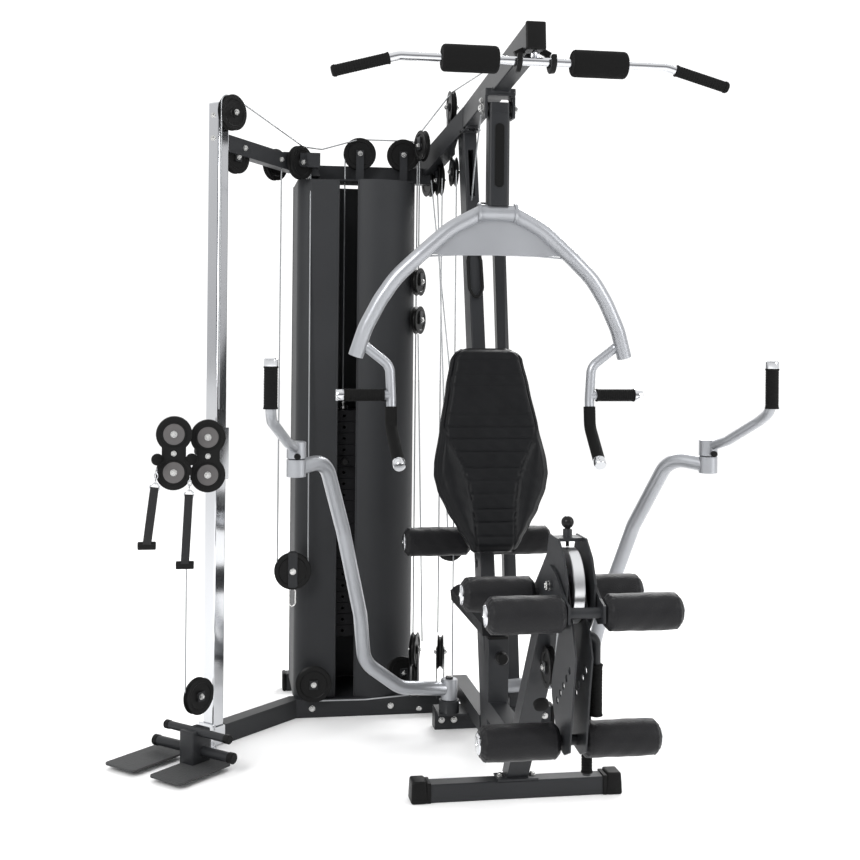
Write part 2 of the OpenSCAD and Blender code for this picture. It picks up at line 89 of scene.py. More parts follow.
def finish_of(name, group, values, **own):
    """A material: what varies comes from a shared group, and the rest is set on the shader."""
    m = bpy.data.materials.new(name)
    m.use_nodes = True
    t = m.node_tree
    b = t.nodes["Principled BSDF"]
    g = t.nodes.new("ShaderNodeGroup")
    g.node_tree = group
    for label, value in values.items():
        g.inputs[label].default_value = value
    for label, socket in (("Color", "Base Color"), ("Rough", "Roughness"), ("Normal", "Normal")):
        if label in g.outputs:
            t.links.new(g.outputs[label], b.inputs[socket])
    for label, value in own.items():
        b.inputs[label.replace("_", " ")].default_value = value
    return m


# Fine orange peel of a sprayed or moulded skin: slight tone drift, rough drift and bump.
grain, given, result = make_group(
    "skin_grain",
    [
        ("Base", "NodeSocketColor", (0.1, 0.1, 0.1, 1)),
        ("Scale", "NodeSocketFloat", 600.0),
        ("Drift", "NodeSocketFloat", 0.12),
        ("Rough", "NodeSocketFloat", 0.4),
        ("Bump", "NodeSocketFloat", 0.05),
    ],
    [("Color", "NodeSocketColor"), ("Rough", "NodeSocketFloat"), ("Normal", "NodeSocketVector")],
)
spot = add(grain, "TexCoord")
fine = add(grain, "TexNoise")
wide = add(grain, "TexNoise", Scale=6, Detail=4)
tone = add(grain, "MapRange", To_Min=0.85, To_Max=1.15)
shade = add(grain, "VectorMath", "SCALE")
rough_drift = add(grain, "Math", "MULTIPLY_ADD")
peel = add(grain, "Bump", Distance=0.0006)
wire(grain, spot, "Object", fine, "Vector")
wire(grain, spot, "Object", wide, "Vector")
wire(grain, given, "Scale", fine, "Scale")
wire(grain, wide, "Fac", tone, "Value")
wire(grain, given, "Base", shade, 0)
wire(grain, tone, "Result", shade, "Scale")
wire(grain, shade, 0, result, "Color")
wire(grain, wide, "Fac", rough_drift, 0)
wire(grain, given, "Drift", rough_drift, 1)
wire(grain, given, "Rough", rough_drift, 2)
wire(grain, rough_drift, 0, result, "Rough")
wire(grain, fine, "Fac", peel, "Height")
wire(grain, given, "Bump", peel, "Strength")
wire(grain, peel, "Normal", result, "Normal")


def skin(name, base, rough, metal, scale=600, bump=0.1, coat=0.0, gloss=0.12):
    """Paint, plastic, rubber or foam with the fine grain."""
    values = {"Base": (*base, 1), "Scale": scale, "Rough": rough, "Bump": bump}
    return finish_of(name, grain, values, Metallic=metal, Specular_IOR_Level=gloss,
                     Coat_Weight=coat, Coat_Roughness=0.2)


paint = skin("anthracite_coat", (0.019, 0.020, 0.022), 0.36, 0.1, 900, 0.12, coat=0.04, gloss=0.25)


def dress(node, material, edge):
    """Gives a CAD part its finish and eases its edges as rolled tube and cut plate have."""
    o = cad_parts[node]
    o.data.materials.clear()
    o.data.materials.append(material)
    weld = o.modifiers.new("weld", "WELD")
    weld.merge_threshold = 0.00002
    ease = o.modifiers.new("ease", "BEVEL")
    ease.width = edge
    ease.segments = 3
    ease.limit_method = "ANGLE"
    ease.angle_limit = math.radians(40)


dress("foot_bar", paint, 0.004)

# -------- end caps
# Black moulded caps pushed over the open ends of the foot bar, floor bars and boom.
# The front pair stand on the floor and are taller than the bar; their tops slope in.

plastic = skin("black_moulding", (0.006, 0.006, 0.006), 0.38, 0.0, 1400, 0.15)


def settle(o, material, body, smooth_angle=35):
    """Material, shading and body for a finished mesh."""
    o.data.materials.append(material)
    o.data.polygons.foreach_set("use_smooth", [True] * len(o.data.polygons))
    o.data.set_sharp_from_angle(angle=math.radians(smooth_angle))
    if body:
        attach(o, body)
    return o


def placed(name, me):
    """An object for a finished mesh, put in the scene."""
    o = bpy.data.objects.new(name, me)
    bpy.context.scene.collection.objects.link(o)
    return o


def from_bmesh(name, bm):
    me = bpy.data.meshes.new(name)
    bm.to_mesh(me)
    bm.free()
    return placed(name, me)


def mesh_object(name, verts, faces):
    me = bpy.data.meshes.new(name)
    me.from_pydata([tuple(v) for v in verts], [], faces)
    me.update()
    return placed(name, me)


def join(name, parts):
    """One mesh from several, all built in place."""
    bm = bmesh.new()
    for p in parts:
        bm.from_mesh(p.data)
        bpy.data.objects.remove(p)
    bmesh.ops.recalc_face_normals(bm, faces=bm.faces)
    return from_bmesh(name, bm)


def eased_box(name, lo, hi, edge=3, taper=(0, 0), turn=None):
    """Box with rounded edges; taper pulls the top in along x and y, in millimetres."""
    bm = bmesh.new()
    bmesh.ops.create_cube(bm, size=1)
    centre = [(a + b) / 2 for a, b in zip(lo, hi)]
    size = [b - a for a, b in zip(lo, hi)]
    for v in bm.verts:
        top = v.co.z > 0
        for k in range(3):
            v.co[k] = v.co[k] * size[k]
        if top:
            v.co.x -= math.copysign(taper[0], v.co.x)
            v.co.y -= math.copysign(taper[1], v.co.y)
        for k in range(3):
            v.co[k] = (v.co[k] + centre[k]) * 0.001
    bmesh.ops.bevel(bm, geom=bm.edges, offset=edge * 0.001, segments=3, profile=0.5, affect="EDGES")
    if turn:
        bmesh.ops.transform(bm, matrix=turn, verts=bm.verts)
    return from_bmesh(name, bm)


caps = []
for x in (-295, 249):
    caps.append(eased_box("cap", (x, -32, 0), (x + 46, 32, 60), 6, (3, 3)))
for x in (-252, 240):
    caps.append(eased_box("lip", (x, -29, 0.3), (x + 12, 29, 54), 2))
caps.append(eased_box("cap", (-580, 1107, 0), (-566, 1163, 62), 5))
caps.append(eased_box("cap", (259, 602, 0), (273, 658, 62), 5))
tilt = Matrix.Translation(V(0, -140, 2052)) @ Matrix.Rotation(math.radians(-5.79), 4, "X")
caps.append(eased_box("cap", (-27, -13, -38), (27, 1, 38), 4, turn=tilt))
end_caps = settle(join("end_caps_moulded", caps), plastic, "frame")
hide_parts("end_caps")

# -------- posts, beams and base
# Mast, sloping front post, rear post, boom and floor bars: welded box tube and cut plate.
# They are the CAD parts as they are, with eased edges and the same powder coat.

for node in ("front_post", "mast", "rear_post", "base_frame", "stack_rail", "boom_front", "boom_rear",
             "tower_arm"):
    dress(node, paint, 0.0035)
dress("pulley_brackets", paint, 0.0008)
dress("leg_head", paint, 0.0015)
dress("seat_post", paint, 0.002)
dress("back_carrier", paint, 0.002)

# -------- cable column
# Square chrome tube, turned 45 degrees, on a chrome foot bracket with two bolts.
# Polished chrome plate with faint drawing lines along the tube.

lines, given, result = make_group(
    "drawn_lines",
    [("Base", "NodeSocketColor", (0.9, 0.9, 0.9, 1)), ("Rough", "NodeSocketFloat", 0.07)],
    [("Color", "NodeSocketColor"), ("Rough", "NodeSocketFloat"), ("Normal", "NodeSocketVector")],
)
spot = add(lines, "TexCoord")
stretch = add(lines, "Mapping", Scale=(400, 400, 3))
streak = add(lines, "TexNoise", Detail=6)
drift = add(lines, "Math", "MULTIPLY_ADD")
drift.inputs[1].default_value = 0.08
tone = add(lines, "MapRange", To_Min=0.94, To_Max=1.06)
shade = add(lines, "VectorMath", "SCALE")
scratch = add(lines, "Bump", Strength=0.03, Distance=0.0002)
wire(lines, spot, "Object", stretch, "Vector")
wire(lines, stretch, "Vector", streak, "Vector")
wire(lines, streak, "Fac", drift, 0)
wire(lines, given, "Rough", drift, 2)
wire(lines, drift, 0, result, "Rough")
wire(lines, streak, "Fac", tone, "Value")
wire(lines, given, "Base", shade, 0)
wire(lines, tone, "Result", shade, "Scale")
wire(lines, shade, 0, result, "Color")
wire(lines, streak, "Fac", scratch, "Height")
wire(lines, scratch, "Normal", result, "Normal")


def plated(name, base, rough):
    """Bare or plated metal with drawn lines."""
    return finish_of(name, lines, {"Base": (*base, 1), "Rough": rough}, Metallic=1)


chrome = plated("chrome_plate", (0.62, 0.63, 0.65), 0.06)
zinc = plated("zinc_plate", (0.62, 0.62, 0.61), 0.22)
dress("cable_column", chrome, 0.004)
dress("column_foot", chrome, 0.0015)
dress("guide_rods", chrome, 0.001)

# -------- bolts
# Zinc hexagon bolts with washers and nyloc nuts at every bolted joint.
# Each head is turned from a real hexagon with a chamfer, and sits on a flat washer.


def lathe(name, profile, at, axis, seg=40):
    """Turned piece: profile holds (radius, distance along the axis) in millimetres."""
    axis = Vector(axis).normalized()
    q = Vector((0, 0, 1)).rotation_difference(axis).to_matrix().to_4x4()
    m = Matrix.Translation(Vector(at) * 0.001) @ q
    verts, faces, rings = [], [], []
    for r, z in profile:
        if r < 1e-6:
            rings.append([len(verts)])
            verts.append(m @ (Vector((0, 0, z)) * 0.001))
        else:
            rings.append(list(range(len(verts), len(verts) + seg)))
            for k in range(seg):
                a = math.tau * k / seg
                verts.append(m @ (Vector((r * math.cos(a), r * math.sin(a), z)) * 0.001))
    for a, b in zip(rings, rings[1:]):
        for k in range(seg):
            j = (k + 1) % seg
            if len(a) == 1 and len(b) == 1:
                continue
            if len(a) == 1:
                faces.append((a[0], b[j], b[k]))
            elif len(b) == 1:
                faces.append((a[k], a[j], b[0]))
            else:
                faces.append((a[k], a[j], b[j], b[k]))
    return mesh_object(name, verts, faces)


def bolt(at, axis, d=10):
    """Washer, hexagon head and thread end, standing out along axis from a face."""
    washer = lathe("washer", [(0, 0), (d, 0), (d, 1.6), (0, 1.6)], at, axis, 28)
    head = lathe("head", [(0, 1.6), (d * 0.88, 1.6), (d * 0.88, d * 0.62), (d * 0.78, d * 0.72),
                          (0, d * 0.72)], at, axis, 6)
    end = lathe("end", [(0, d * 0.7), (d * 0.5, d * 0.7), (d * 0.5, d * 0.9), (d * 0.4, d), (0, d)], at,
                axis, 20)
    return [washer, head, end]


diag = (-0.7071, -0.7071, 0)
side = (0.7071, -0.7071, 0)
bolts = []
for s in (-1, 1):
    bolts += bolt((s * 45, 0, 56), (0, 0, 1), 10)
    bolts += bolt((s * 46, 320, 1962), (s, 0, 0), 9)
    bolts += bolt((s * 46, 306, 1936), (s, 0, 0), 14)
    for y in (-345, -385):
        bolts += bolt((s * 36, y, 595), (s, 0, 0), 9)
    bolts += bolt((s * 27, 800, 1955), (s, 0, 0), 9)
for at in ((-60, 605, 30), (200, 605, 30), (240, 605, 30), (-100, 605, 30)):
    bolts += bolt(at, (0, -1, 0), 10)
for at in ((-240, 785, 30), (-60, 785, 30), (-500, 785, 30)):
    bolts += bolt(at, (0, -1, 0), 10)
for z in (1700, 1760, 1800):
    bolts += bolt((22, 900, z), (1, 0, 0), 8)
for x, y, z in ((-836, 541, 1925), (-836, 541, 1855)):
    bolts += bolt((x, y, z), diag, 9)
for x, y in ((-872, 532), (-845, 505)):
    bolts += bolt((x, y, 6), (0, 0, 1), 10)
for k in (0.25, 0.75):
    bolts += bolt((-812 + 237 * k + 14.5, 565 + 237 * k - 14.5, 1846 - 33 * k), side, 9)
frame_bolts = settle(join("frame_bolts_zinc", bolts), zinc, "frame")
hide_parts("frame_bolts")

# -------- foot plates of the tower
# Two chequered rubber-topped steel plates under a pair of round cross bars and a black block.
# The user stands on them; the bars end in plastic plugs.


def corner_arc(a, b, c, r, n=None):
    """Points of the arc of radius r that rounds the corner b between a and c."""
    u, v = (a - b).normalized(), (c - b).normalized()
    angle = u.angle(v)
    if n is None and math.pi - angle < 0.02:
        return [b]
    t = min(r / math.tan(angle / 2), 0.49 * (a - b).length, 0.49 * (c - b).length)
    centre = b + (u + v).normalized() * (t * math.tan(angle / 2) / math.sin(angle / 2))
    w0, w1 = b + u * t - centre, b + v * t - centre
    turn = max(w0.angle(w1), 1e-3)
    n = n or max(4, int(math.degrees(turn) / 6))
    arc = []
    for k in range(n + 1):
        f = k / n
        arc.append(centre + (w0 * math.sin((1 - f) * turn) + w1 * math.sin(f * turn)) / math.sin(turn))
    return arc


def fillet(points, r):
    """Rounds the corners of a path, as a tube bender does. Millimetres."""
    pts = [Vector(p) for p in points]
    out = [pts[0]]
    for a, b, c in zip(pts, pts[1:], pts[2:]):
        out += corner_arc(a, b, c, r)
    return out + [pts[-1]]


def ring(r, n=28):
    return [(r * math.cos(math.tau * k / n), r * math.sin(math.tau * k / n)) for k in range(n)]


def sweep(name, profile, path, up=(0, 0, 1)):
    """Sweeps a closed profile along a path, both in millimetres, with closed ends."""
    path = [Vector(p) for p in path]
    n = len(profile)
    first = (path[1] - path[0]).normalized()
    up = Vector(up)
    if abs(first.dot(up)) > 0.95:
        up = Vector((0, 1, 0))
    sideways = first.cross(up).normalized()
    normal = sideways.cross(first)
    verts, faces, last = [], [], first
    for i, p in enumerate(path):
        ahead = (path[min(i + 1, len(path) - 1)] - p)
        behind = (p - path[max(i - 1, 0)])
        t = ((ahead.normalized() if ahead.length else Vector())
             + (behind.normalized() if behind.length else Vector())).normalized()
        q = last.rotation_difference(t)
        sideways, normal, last = q @ sideways, q @ normal, t
        for a, b in profile:
            verts.append((p + sideways * a + normal * b) * 0.001)
    for i in range(len(path) - 1):
        for k in range(n):
            j = (k + 1) % n
            faces.append((i * n + k, i * n + j, (i + 1) * n + j, (i + 1) * n + k))
    faces.append(tuple(reversed(range(n))))
    faces.append(tuple(range((len(path) - 1) * n, len(path) * n)))
    return mesh_object(name, verts, faces)


tread_parts = [
    sweep("bar", ring(14.5), [(-986, 466, 50), (-766, 265, 50)]),
    sweep("bar", ring(11.5), [(-952, 416, 110), (-778, 247, 110)]),
    eased_box("block", (-35, -28, 0), (35, 28, 114), 4,
              turn=Matrix.Translation(V(-872, 350, 0)) @ Matrix.Rotation(math.radians(45), 4, "Z")),
    sweep("link", [(-24, -14), (24, -14), (24, 14), (-24, 14)], [(-868, 372, 20), (-850, 500, 20)]),
]
tread_frame = settle(join("tread_frame_bars", tread_parts), paint, "frame")
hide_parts("tread_frame")
plugs = []
for a, b, r in (((-986, 466, 50), (-766, 265, 50), 16), ((-952, 416, 110), (-778, 247, 110), 13)):
    u = (Vector(b) - Vector(a)).normalized()
    plugs.append(lathe("plug", [(0, -8), (r * 0.8, -8), (r, -5), (r, 10), (0, 10)], a, u))
    plugs.append(lathe("plug", [(0, -8), (r * 0.8, -8), (r, -5), (r, 10), (0, 10)], b, -u))
settle(join("tread_bar_plugs", plugs), plastic, "frame")

chequer, given, result = make_group(
    "chequer",
    [("Scale", "NodeSocketFloat", 90.0), ("Strength", "NodeSocketFloat", 0.6)],
    [("Normal", "NodeSocketVector")],
)
spot = add(chequer, "TexCoord")
cells = add(chequer, "TexVoronoi")
cells.feature = "DISTANCE_TO_EDGE"
raised = add(chequer, "Bump", Distance=0.002)
wire(chequer, spot, "Object", cells, "Vector")
wire(chequer, given, "Scale", cells, "Scale")
wire(chequer, cells, "Distance", raised, "Height")
wire(chequer, given, "Strength", raised, "Strength")
wire(chequer, raised, "Normal", result, "Normal")
tread_mat = finish_of("rubber_tread", chequer, {}, Base_Color=(0.035, 0.036, 0.037, 1), Roughness=0.75)


def flat_plate(name, outline, thick, place, edge=1.0):
    """Cut plate with eased edges, drawn in its own plane in millimetres."""
    cu = bpy.data.curves.new(name, "CURVE")
    cu.dimensions = "2D"
    cu.fill_mode = "BOTH"
    cu.extrude = (thick / 2 - edge) * 0.001
    cu.bevel_depth = edge * 0.001
    cu.bevel_resolution = 1
    cu.offset = -edge * 0.001
    sp = cu.splines.new("POLY")
    sp.points.add(len(outline) - 1)
    for p, (x, y) in zip(sp.points, outline):
        p.co = (x * 0.001, y * 0.001, 0, 1)
    sp.use_cyclic_u = True
    tmp = bpy.data.objects.new(name, cu)
    me = bpy.data.meshes.new_from_object(tmp)
    bpy.data.objects.remove(tmp)
    me.transform(place)
    return placed(name, me)


def round_corners(points, r, n=6):
    """Rounds each corner of a flat outline."""
    pts = [Vector((*p, 0)) for p in points]
    out = []
    for i, b in enumerate(pts):
        out += [(p.x, p.y) for p in corner_arc(pts[i - 1], b, pts[(i + 1) % len(pts)], r, n)]
    return out


plates = []
for x, y in ((-882, 280), (-1014, 404)):
    place = Matrix.Translation(V(x, y, 17)) @ Matrix.Rotation(math.radians(46), 4, "Z")
    plates.append(flat_plate("tread",
                             round_corners([(-106, -62), (106, -62), (106, 62), (-106, 62)], 16), 6,
                             place))
treads = settle(join("tread_plates_rubber", plates), tread_mat, "frame")
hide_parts("tread_plates")

# -------- weight stack
# Black painted iron plates on two chrome rods, each with a pin slot in its front edge,
# over rubber buffers. The top five rise with the stem when the pin is in the fifth.

iron = skin("black_iron", (0.008, 0.008, 0.009), 0.42, 0.1, 500, 0.2)
dress("rest_plates", iron, 0.0015)
dress("lift_plates", iron, 0.0015)
rubber = skin("rubber_black", (0.005, 0.005, 0.005), 0.7, 0.0, 900, 0.2)
dress("stack_buffers", rubber, 0.003)
dress("selector_stem", zinc, 0.001)
pin_lo, pin_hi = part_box("selector_pin")
pin_y, pin_z = pin_lo[1] * 1000, (pin_lo[2] + pin_hi[2]) * 500
pin = join("selector_pin_knob", [
    lathe("knob", [(0, 0), (9, 0), (12, 3), (12, 20), (9, 25), (0, 25)], (-395, pin_y, pin_z), (0, 1, 0)),
    lathe("shaft", [(0, 24), (4, 24), (4, 100), (2.5, 105), (0, 105)], (-395, pin_y, pin_z), (0, 1, 0)),
])
settle(pin, plastic, "selector_pin")
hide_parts("selector_pin")

# -------- shrouds
# Bent sheet covers of the weight stack, textured anthracite: a half-round one on the right
# and a flat one with a rounded corner on the left. Their free edges are hemmed.

shroud_mat = skin("shroud_coat", (0.022, 0.023, 0.025), 0.5, 0.05, 1500, 0.35, gloss=0.25)
dress("shroud_left", shroud_mat, 0.0008)
dress("shroud_right", shroud_mat, 0.0008)
hems = []
for x, y, z1 in ((-426, 801.5, 1770), (-558.5, 1059, 1770)):
    hems.append(sweep("hem", ring(3.2, 12), [(x, y, 62), (x, y, z1)]))
for a in (-118, 87):
    ca, sa = math.cos(math.radians(a)), math.sin(math.radians(a))
    hems.append(sweep("hem", ring(3.2, 12),
                      [(-295 + 138.5 * ca, 925 + 138.5 * sa, 62),
                       (-295 + 138.5 * ca, 925 + 138.5 * sa, 1773)]))
settle(join("shroud_hems", hems), shroud_mat, "frame")
lid = flat_plate("shroud_lid",
                 [(-295 + 136 * math.cos(math.radians(a)), 925 + 136 * math.sin(math.radians(a)))
                  for a in range(-116, 88, 6)],
                 4, Matrix.Translation(V(0, 0, 1772)))
settle(lid, shroud_mat, "frame")

# -------- pulleys
# Moulded black nylon pulleys with a raised hub, a dished web and a V groove, on M10 bolts.
# Four turn with the stack; the others are drawn still and ride on the frame.

nylon = skin("black_nylon", (0.006, 0.006, 0.006), 0.36, 0.0, 1200, 0.1, coat=0.04)


def wheel(at, axis, d=110, w=20):
    r, h = d / 2, w / 2
    return lathe("wheel",
                 [(5.2, -h), (13, -h), (15, -h + 3), (r - 16, -h + 3), (r - 13, -h + 0.6),
                  (r - 2, -h + 0.6),
                           (r, -h + 2), (r - 8, -2.6), (r - 8.4, 0), (r - 8, 2.6), (r, h - 2),
                           (r - 2, h - 0.6),
                           (r - 13, h - 0.6), (r - 16, h - 3), (15, h - 3), (13, h), (5.2, h),
                           (5.2, -h)], at, axis, 64)


turning = {
    "pulley_stack_left": ((-345.1, 920, 1873), (0, 1, 0)),
    "pulley_stack_right": ((-196, 920, 1873), (0, 1, 0)),
    "pulley_boom": ((-44, 836, 2030), (1, 0, 0)),
    "pulley_tower_top": ((-779.27, 544.55, 1936), (0.7071, -0.7071, 0)),
}
for body, (at, axis) in turning.items():
    w = settle(wheel(at, axis), nylon, body)
    w.name = body + "_wheel"
    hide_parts(body)
still = [
    ((-766, 611, 1809), side, 104), ((-635, 830, 1817), side, 104), ((-556, 772, 1819), side, 110),
    ((-142, 850, 1898), (1, 0.25, 0), 104), ((-66, 930, 1795), (1, 0, 0), 110),
    ((-92, 1000, 1795), (1, 0.2, 0), 104),
    ((-30, 860, 1815), (1, 0, 0), 100),
    ((-864, 480, 171), (0.7071, -0.7071, 0), 110), ((-498, 760, 117), (0, -1, 0), 116),
    ((-184, 640, 250), (1, -0.35, 0), 110), ((-100, 640, 240), (1, -0.2, 0), 110),
    ((-215, 690, 160), (0.3, -1, 0.5), 110),
    ((0, -338, 440), (1, 0, 0), 104), ((-60, 690, 575), (1, -2.2, 0), 104),
    ((-146, 870, 1440), (1, -0.6, 0), 96), ((-146, 870, 1310), (1, -0.6, 0), 96),
]
wheels, pins = [], []
for at, axis, d in still:
    a = Vector(axis).normalized()
    wheels.append(wheel(at, a, d))
    for s in (-1, 1):
        pins += bolt(Vector(at) + a * s * 12, a * s, 9)
for at, axis in turning.values():
    a = Vector(axis).normalized()
    for s in (-1, 1):
        pins += bolt(Vector(at) + a * s * 17, a * s, 9)
settle(join("fixed_pulleys", wheels), nylon, "frame")
settle(join("pulley_bolts", pins), zinc, "frame")
straps_of = []
for (x, y, z), axis, d in still:
    a = Vector(axis).normalized()
    if z in (250, 240):
        lo, hi = -150, 14
    elif z > 1750 or z in (1440, 1310):
        lo, hi = -14, 30
    else:
        lo, hi = -14, 14
    for s in (-1, 1):
        c = Vector((x, y, z)) + a * s * 12
        straps_of.append(sweep("cheek", [(-13, -1.5), (13, -1.5), (13, 1.5), (-13, 1.5)],
                               [c + Vector((0, 0, lo)), c + Vector((0, 0, hi))], up=a))
settle(join("pulley_cheeks", straps_of), paint, "frame")

# -------- floating pulley of the tower
# A large black pulley between two narrow plates, with a snap hook hanging below it.
# It hangs in a loop of the tower cable and rises as the handles are pulled.

traveller = settle(wheel((-570, 750, 490), (0, -1, 0), 119, 22), nylon, "traveller")
traveller.name = "traveller_wheel"
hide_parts("traveller")
yoke = [flat_plate("yoke", round_corners([(-15, -52), (15, -52), (15, 62), (-15, 62)], 8), 2.6,
                   Matrix.Translation(V(-570, 750 + s * 13, 490)) @ Matrix.Rotation(math.radians(90), 4,
                       "X")) for s in (-1, 1)]
settle(join("traveller_yoke", yoke), paint, "traveller")
link = [sweep("hook", ring(2.6, 12),
              fillet([(-570, 750, 440), (-580, 750, 425), (-580, 750, 385), (-570, 750, 372),
                      (-560, 750, 385),
                                              (-560, 750, 425), (-570, 750, 438)], 8))]
link += bolt((-570, 735, 490), (0, -1, 0), 10) + bolt((-570, 765, 490), (0, 1, 0), 10)
settle(join("traveller_hook", link), zinc, "traveller")

# -------- cables
# Steel cable in a clear coat, 5 mm thick, over the pulleys. Fixed runs ride on the frame;
# the stack drop and the lat drop stretch between the frame and their moving end.

cable_mat = skin("coated_cable", (0.30, 0.31, 0.32), 0.3, 0.5, 3000, 0.3, coat=0.6)
r_wrap = 50


def cable(name, points, body="frame", bend=45):
    o = sweep(name, ring(2.3, 10), fillet(points, bend))
    return settle(o, cable_mat, body, 60)


cable("cable_stack_top",
      [(-345, 920, 1873 + r_wrap), (-196, 920, 1873 + r_wrap), (-146, 920, 1873 + r_wrap),
       (-146, 920, 190)], bend=48)
runs = {
    "cable_tower_top": [(-812, 511, 1030), (-812, 511, 1985), (-779, 545, 1986), (-545, 783, 1872)],
    "cable_tower_low": [(-903, 452, 770), (-903, 452, 180)],
    "cable_traveller_left": [(-618, 752, 1815), (-620, 752, 500)],
    "cable_traveller_right": [(-520, 752, 500), (-520, 806, 1815)],
    "cable_rail": [(-545, 783, 1872), (-480, 840, 1874), (-345, 920, 1924)],
    "cable_boom_top": [(0, 300, 2075), (-44, 836, 2080), (-142, 850, 1950)],
    "cable_boom_drop": [(-142, 898, 1898), (-142, 898, 1480)],
    "cable_block_down": [(-146, 870, 1262), (-150, 700, 260)],
    "cable_back_a": [(-66, 880, 1795), (-100, 690, 290)],
    "cable_back_b": [(-66, 980, 1795), (-60, 740, 580)],
    "cable_back_c": [(-92, 950, 1795), (-15, 650, 580)],
    "cable_back_d": [(-30, 810, 1815), (-60, 640, 120)],
    "cable_mast_slot": [(-52, 306, 1915), (-20, 560, 1780), (-2, 690, 1690)],
    "cable_leg": [(0, -392, 440), (0, -440, 640)],
    "cable_low_rail": [(-498, 760, 62), (-330, 740, 66), (-150, 700, 90)],
}
for name, pts in runs.items():
    cable(name, pts, bend=30)
for o, nodes in (("cable_stack_top", ("cable_stack",)), ("cable_tower_top", ("cable_tower",)),
                 ("cable_tower_low", ("cable_low",)),
                 ("cable_boom_top", ("cable_lat_run",))):
    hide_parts(*nodes)


def stretch_cable(name, top, low):
    """Straight drop from top to low in 24 lengths, tied to no body."""
    n = 24
    path = [Vector(top) + (Vector(low) - Vector(top)) * k / n for k in range(n + 1)]
    o = sweep(name, ring(2.3, 10), path)
    o = settle(o, cable_mat, None, 60)
    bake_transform(o)
    return o


stem_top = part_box("selector_stem")[1][2] * 1000
lift = stretch_cable("cable_lift_drop", (-395, 920, 1873), (-395, 920, stem_top))
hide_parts("cable_lift")
lat_drop = stretch_cable("cable_lat_down", (0, -140, 2040), (0, -140, 2004))
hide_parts("cable_lat_drop")
loop = sweep("mast_cable_loop", ring(5, 12),
             fillet([(-10, 640, 1560), (-26, 620, 1500), (-26, 590, 1410), (-4, 575, 1370),
                     (18, 590, 1410), (18, 620, 1500), (4, 640, 1560)], 26))
settle(loop, plastic, "frame")

# -------- lat bar
# Chrome steel bar bent down at both ends, with two thick foam sleeves and ribbed end grips.
# It hangs from a snap hook and rests against two moulded hooks under the boom's nose.

lat_path = fillet([(-525, -140, 1940), (-362, -140, 1985), (362, -140, 1985), (525, -140, 1940)], 60)
lat = join("lat_bar_tube", [
    sweep("bar", ring(11.5), lat_path),
    sweep("eye", ring(4, 14),
          fillet([(-8, -140, 1994), (-8, -140, 2006), (0, -140, 2012), (8, -140, 2006),
                  (8, -140, 1994)], 6)),
    sweep("snap", ring(2.6, 12),
          fillet([(0, -146, 2008), (0, -146, 1998), (0, -134, 1998), (0, -134, 2010)], 4)),
])
settle(lat, chrome, "lat_bar")
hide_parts("lat_bar")
foam_mat = skin("foam_sleeve", (0.005, 0.005, 0.005), 0.78, 0.0, 700, 0.6)
sleeves = []
for s in (-1, 1):
    prof = [(11.6, 0), (30, 0), (34, 3), (36, 8), (36.3, 40), (36, 75), (36.3, 110), (36, 142),
            (34, 147), (30, 150), (11.6, 150)]
    sleeves.append(lathe("sleeve", prof, (s * 100, -140, 1985), (s, 0, 0), 48))
foams = settle(join("lat_foam_sleeves", sleeves), foam_mat, "lat_bar")
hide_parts("lat_foams")


def grip(a, b, r0, r1, rib=7.0):
    """Moulded rubber grip with fine rings, from a to b over a tube of radius r0."""
    a, b = Vector(a), Vector(b)
    length = (b - a).length
    prof = [(r0, 0), (r1 + 0.8, 0), (r1 + 1.4, 2), (r1 + 0.8, 4)]
    z = 6.0
    while z < length - 8:
        prof += [(r1, z), (r1, z + rib * 0.6), (r1 - 0.6, z + rib * 0.7), (r1 - 0.6, z + rib * 0.9)]
        z += rib
    prof += [(r1 + 0.8, length - 4), (r1 + 1.4, length - 2), (r1 + 0.8, length), (r0, length)]
    return lathe("grip", prof, a, b - a, 36)


lat_grips = []
for s in (-1, 1):
    a, b = Vector((s * 388, -140, 1977.8)), Vector((s * 530, -140, 1938.6))
    lat_grips.append(grip(a, b, 11.6, 15))
    lat_grips.append(lathe("plug", [(15.5, 0), (15.5, 3), (12, 7), (0, 8)], b, b - a, 30))
settle(join("lat_end_grips", lat_grips), rubber, "lat_bar")
hooks = []
for s in (-1, 1):
    pts = [(s * 40, -112, 2012), (s * 44, -112, 1990), (s * 46, -122, 1966), (s * 46, -150, 1962),
           (s * 46, -164, 1980), (s * 46, -160, 2000)]
    hooks.append(sweep("hook", [(-5, -8), (5, -8), (7, -5), (7, 5), (5, 8), (-5, 8), (-7, 5), (-7, -5)],
                       fillet(pts, 14)))
    hooks.append(sweep("arm", [(-6, -8), (6, -8), (6, 8), (-6, 8)],
                       [(s * 24, -112, 2020), (s * 48, -112, 2008)]))
settle(join("lat_bar_hooks", hooks), plastic, "frame")

# -------- press arm
# Dark box yoke on an axle under the boom, and a silver bow: two mandrel-bent tubes,
# a round cross tube and a bent sheet gusset, all welded. Handles are thinner bent tube.

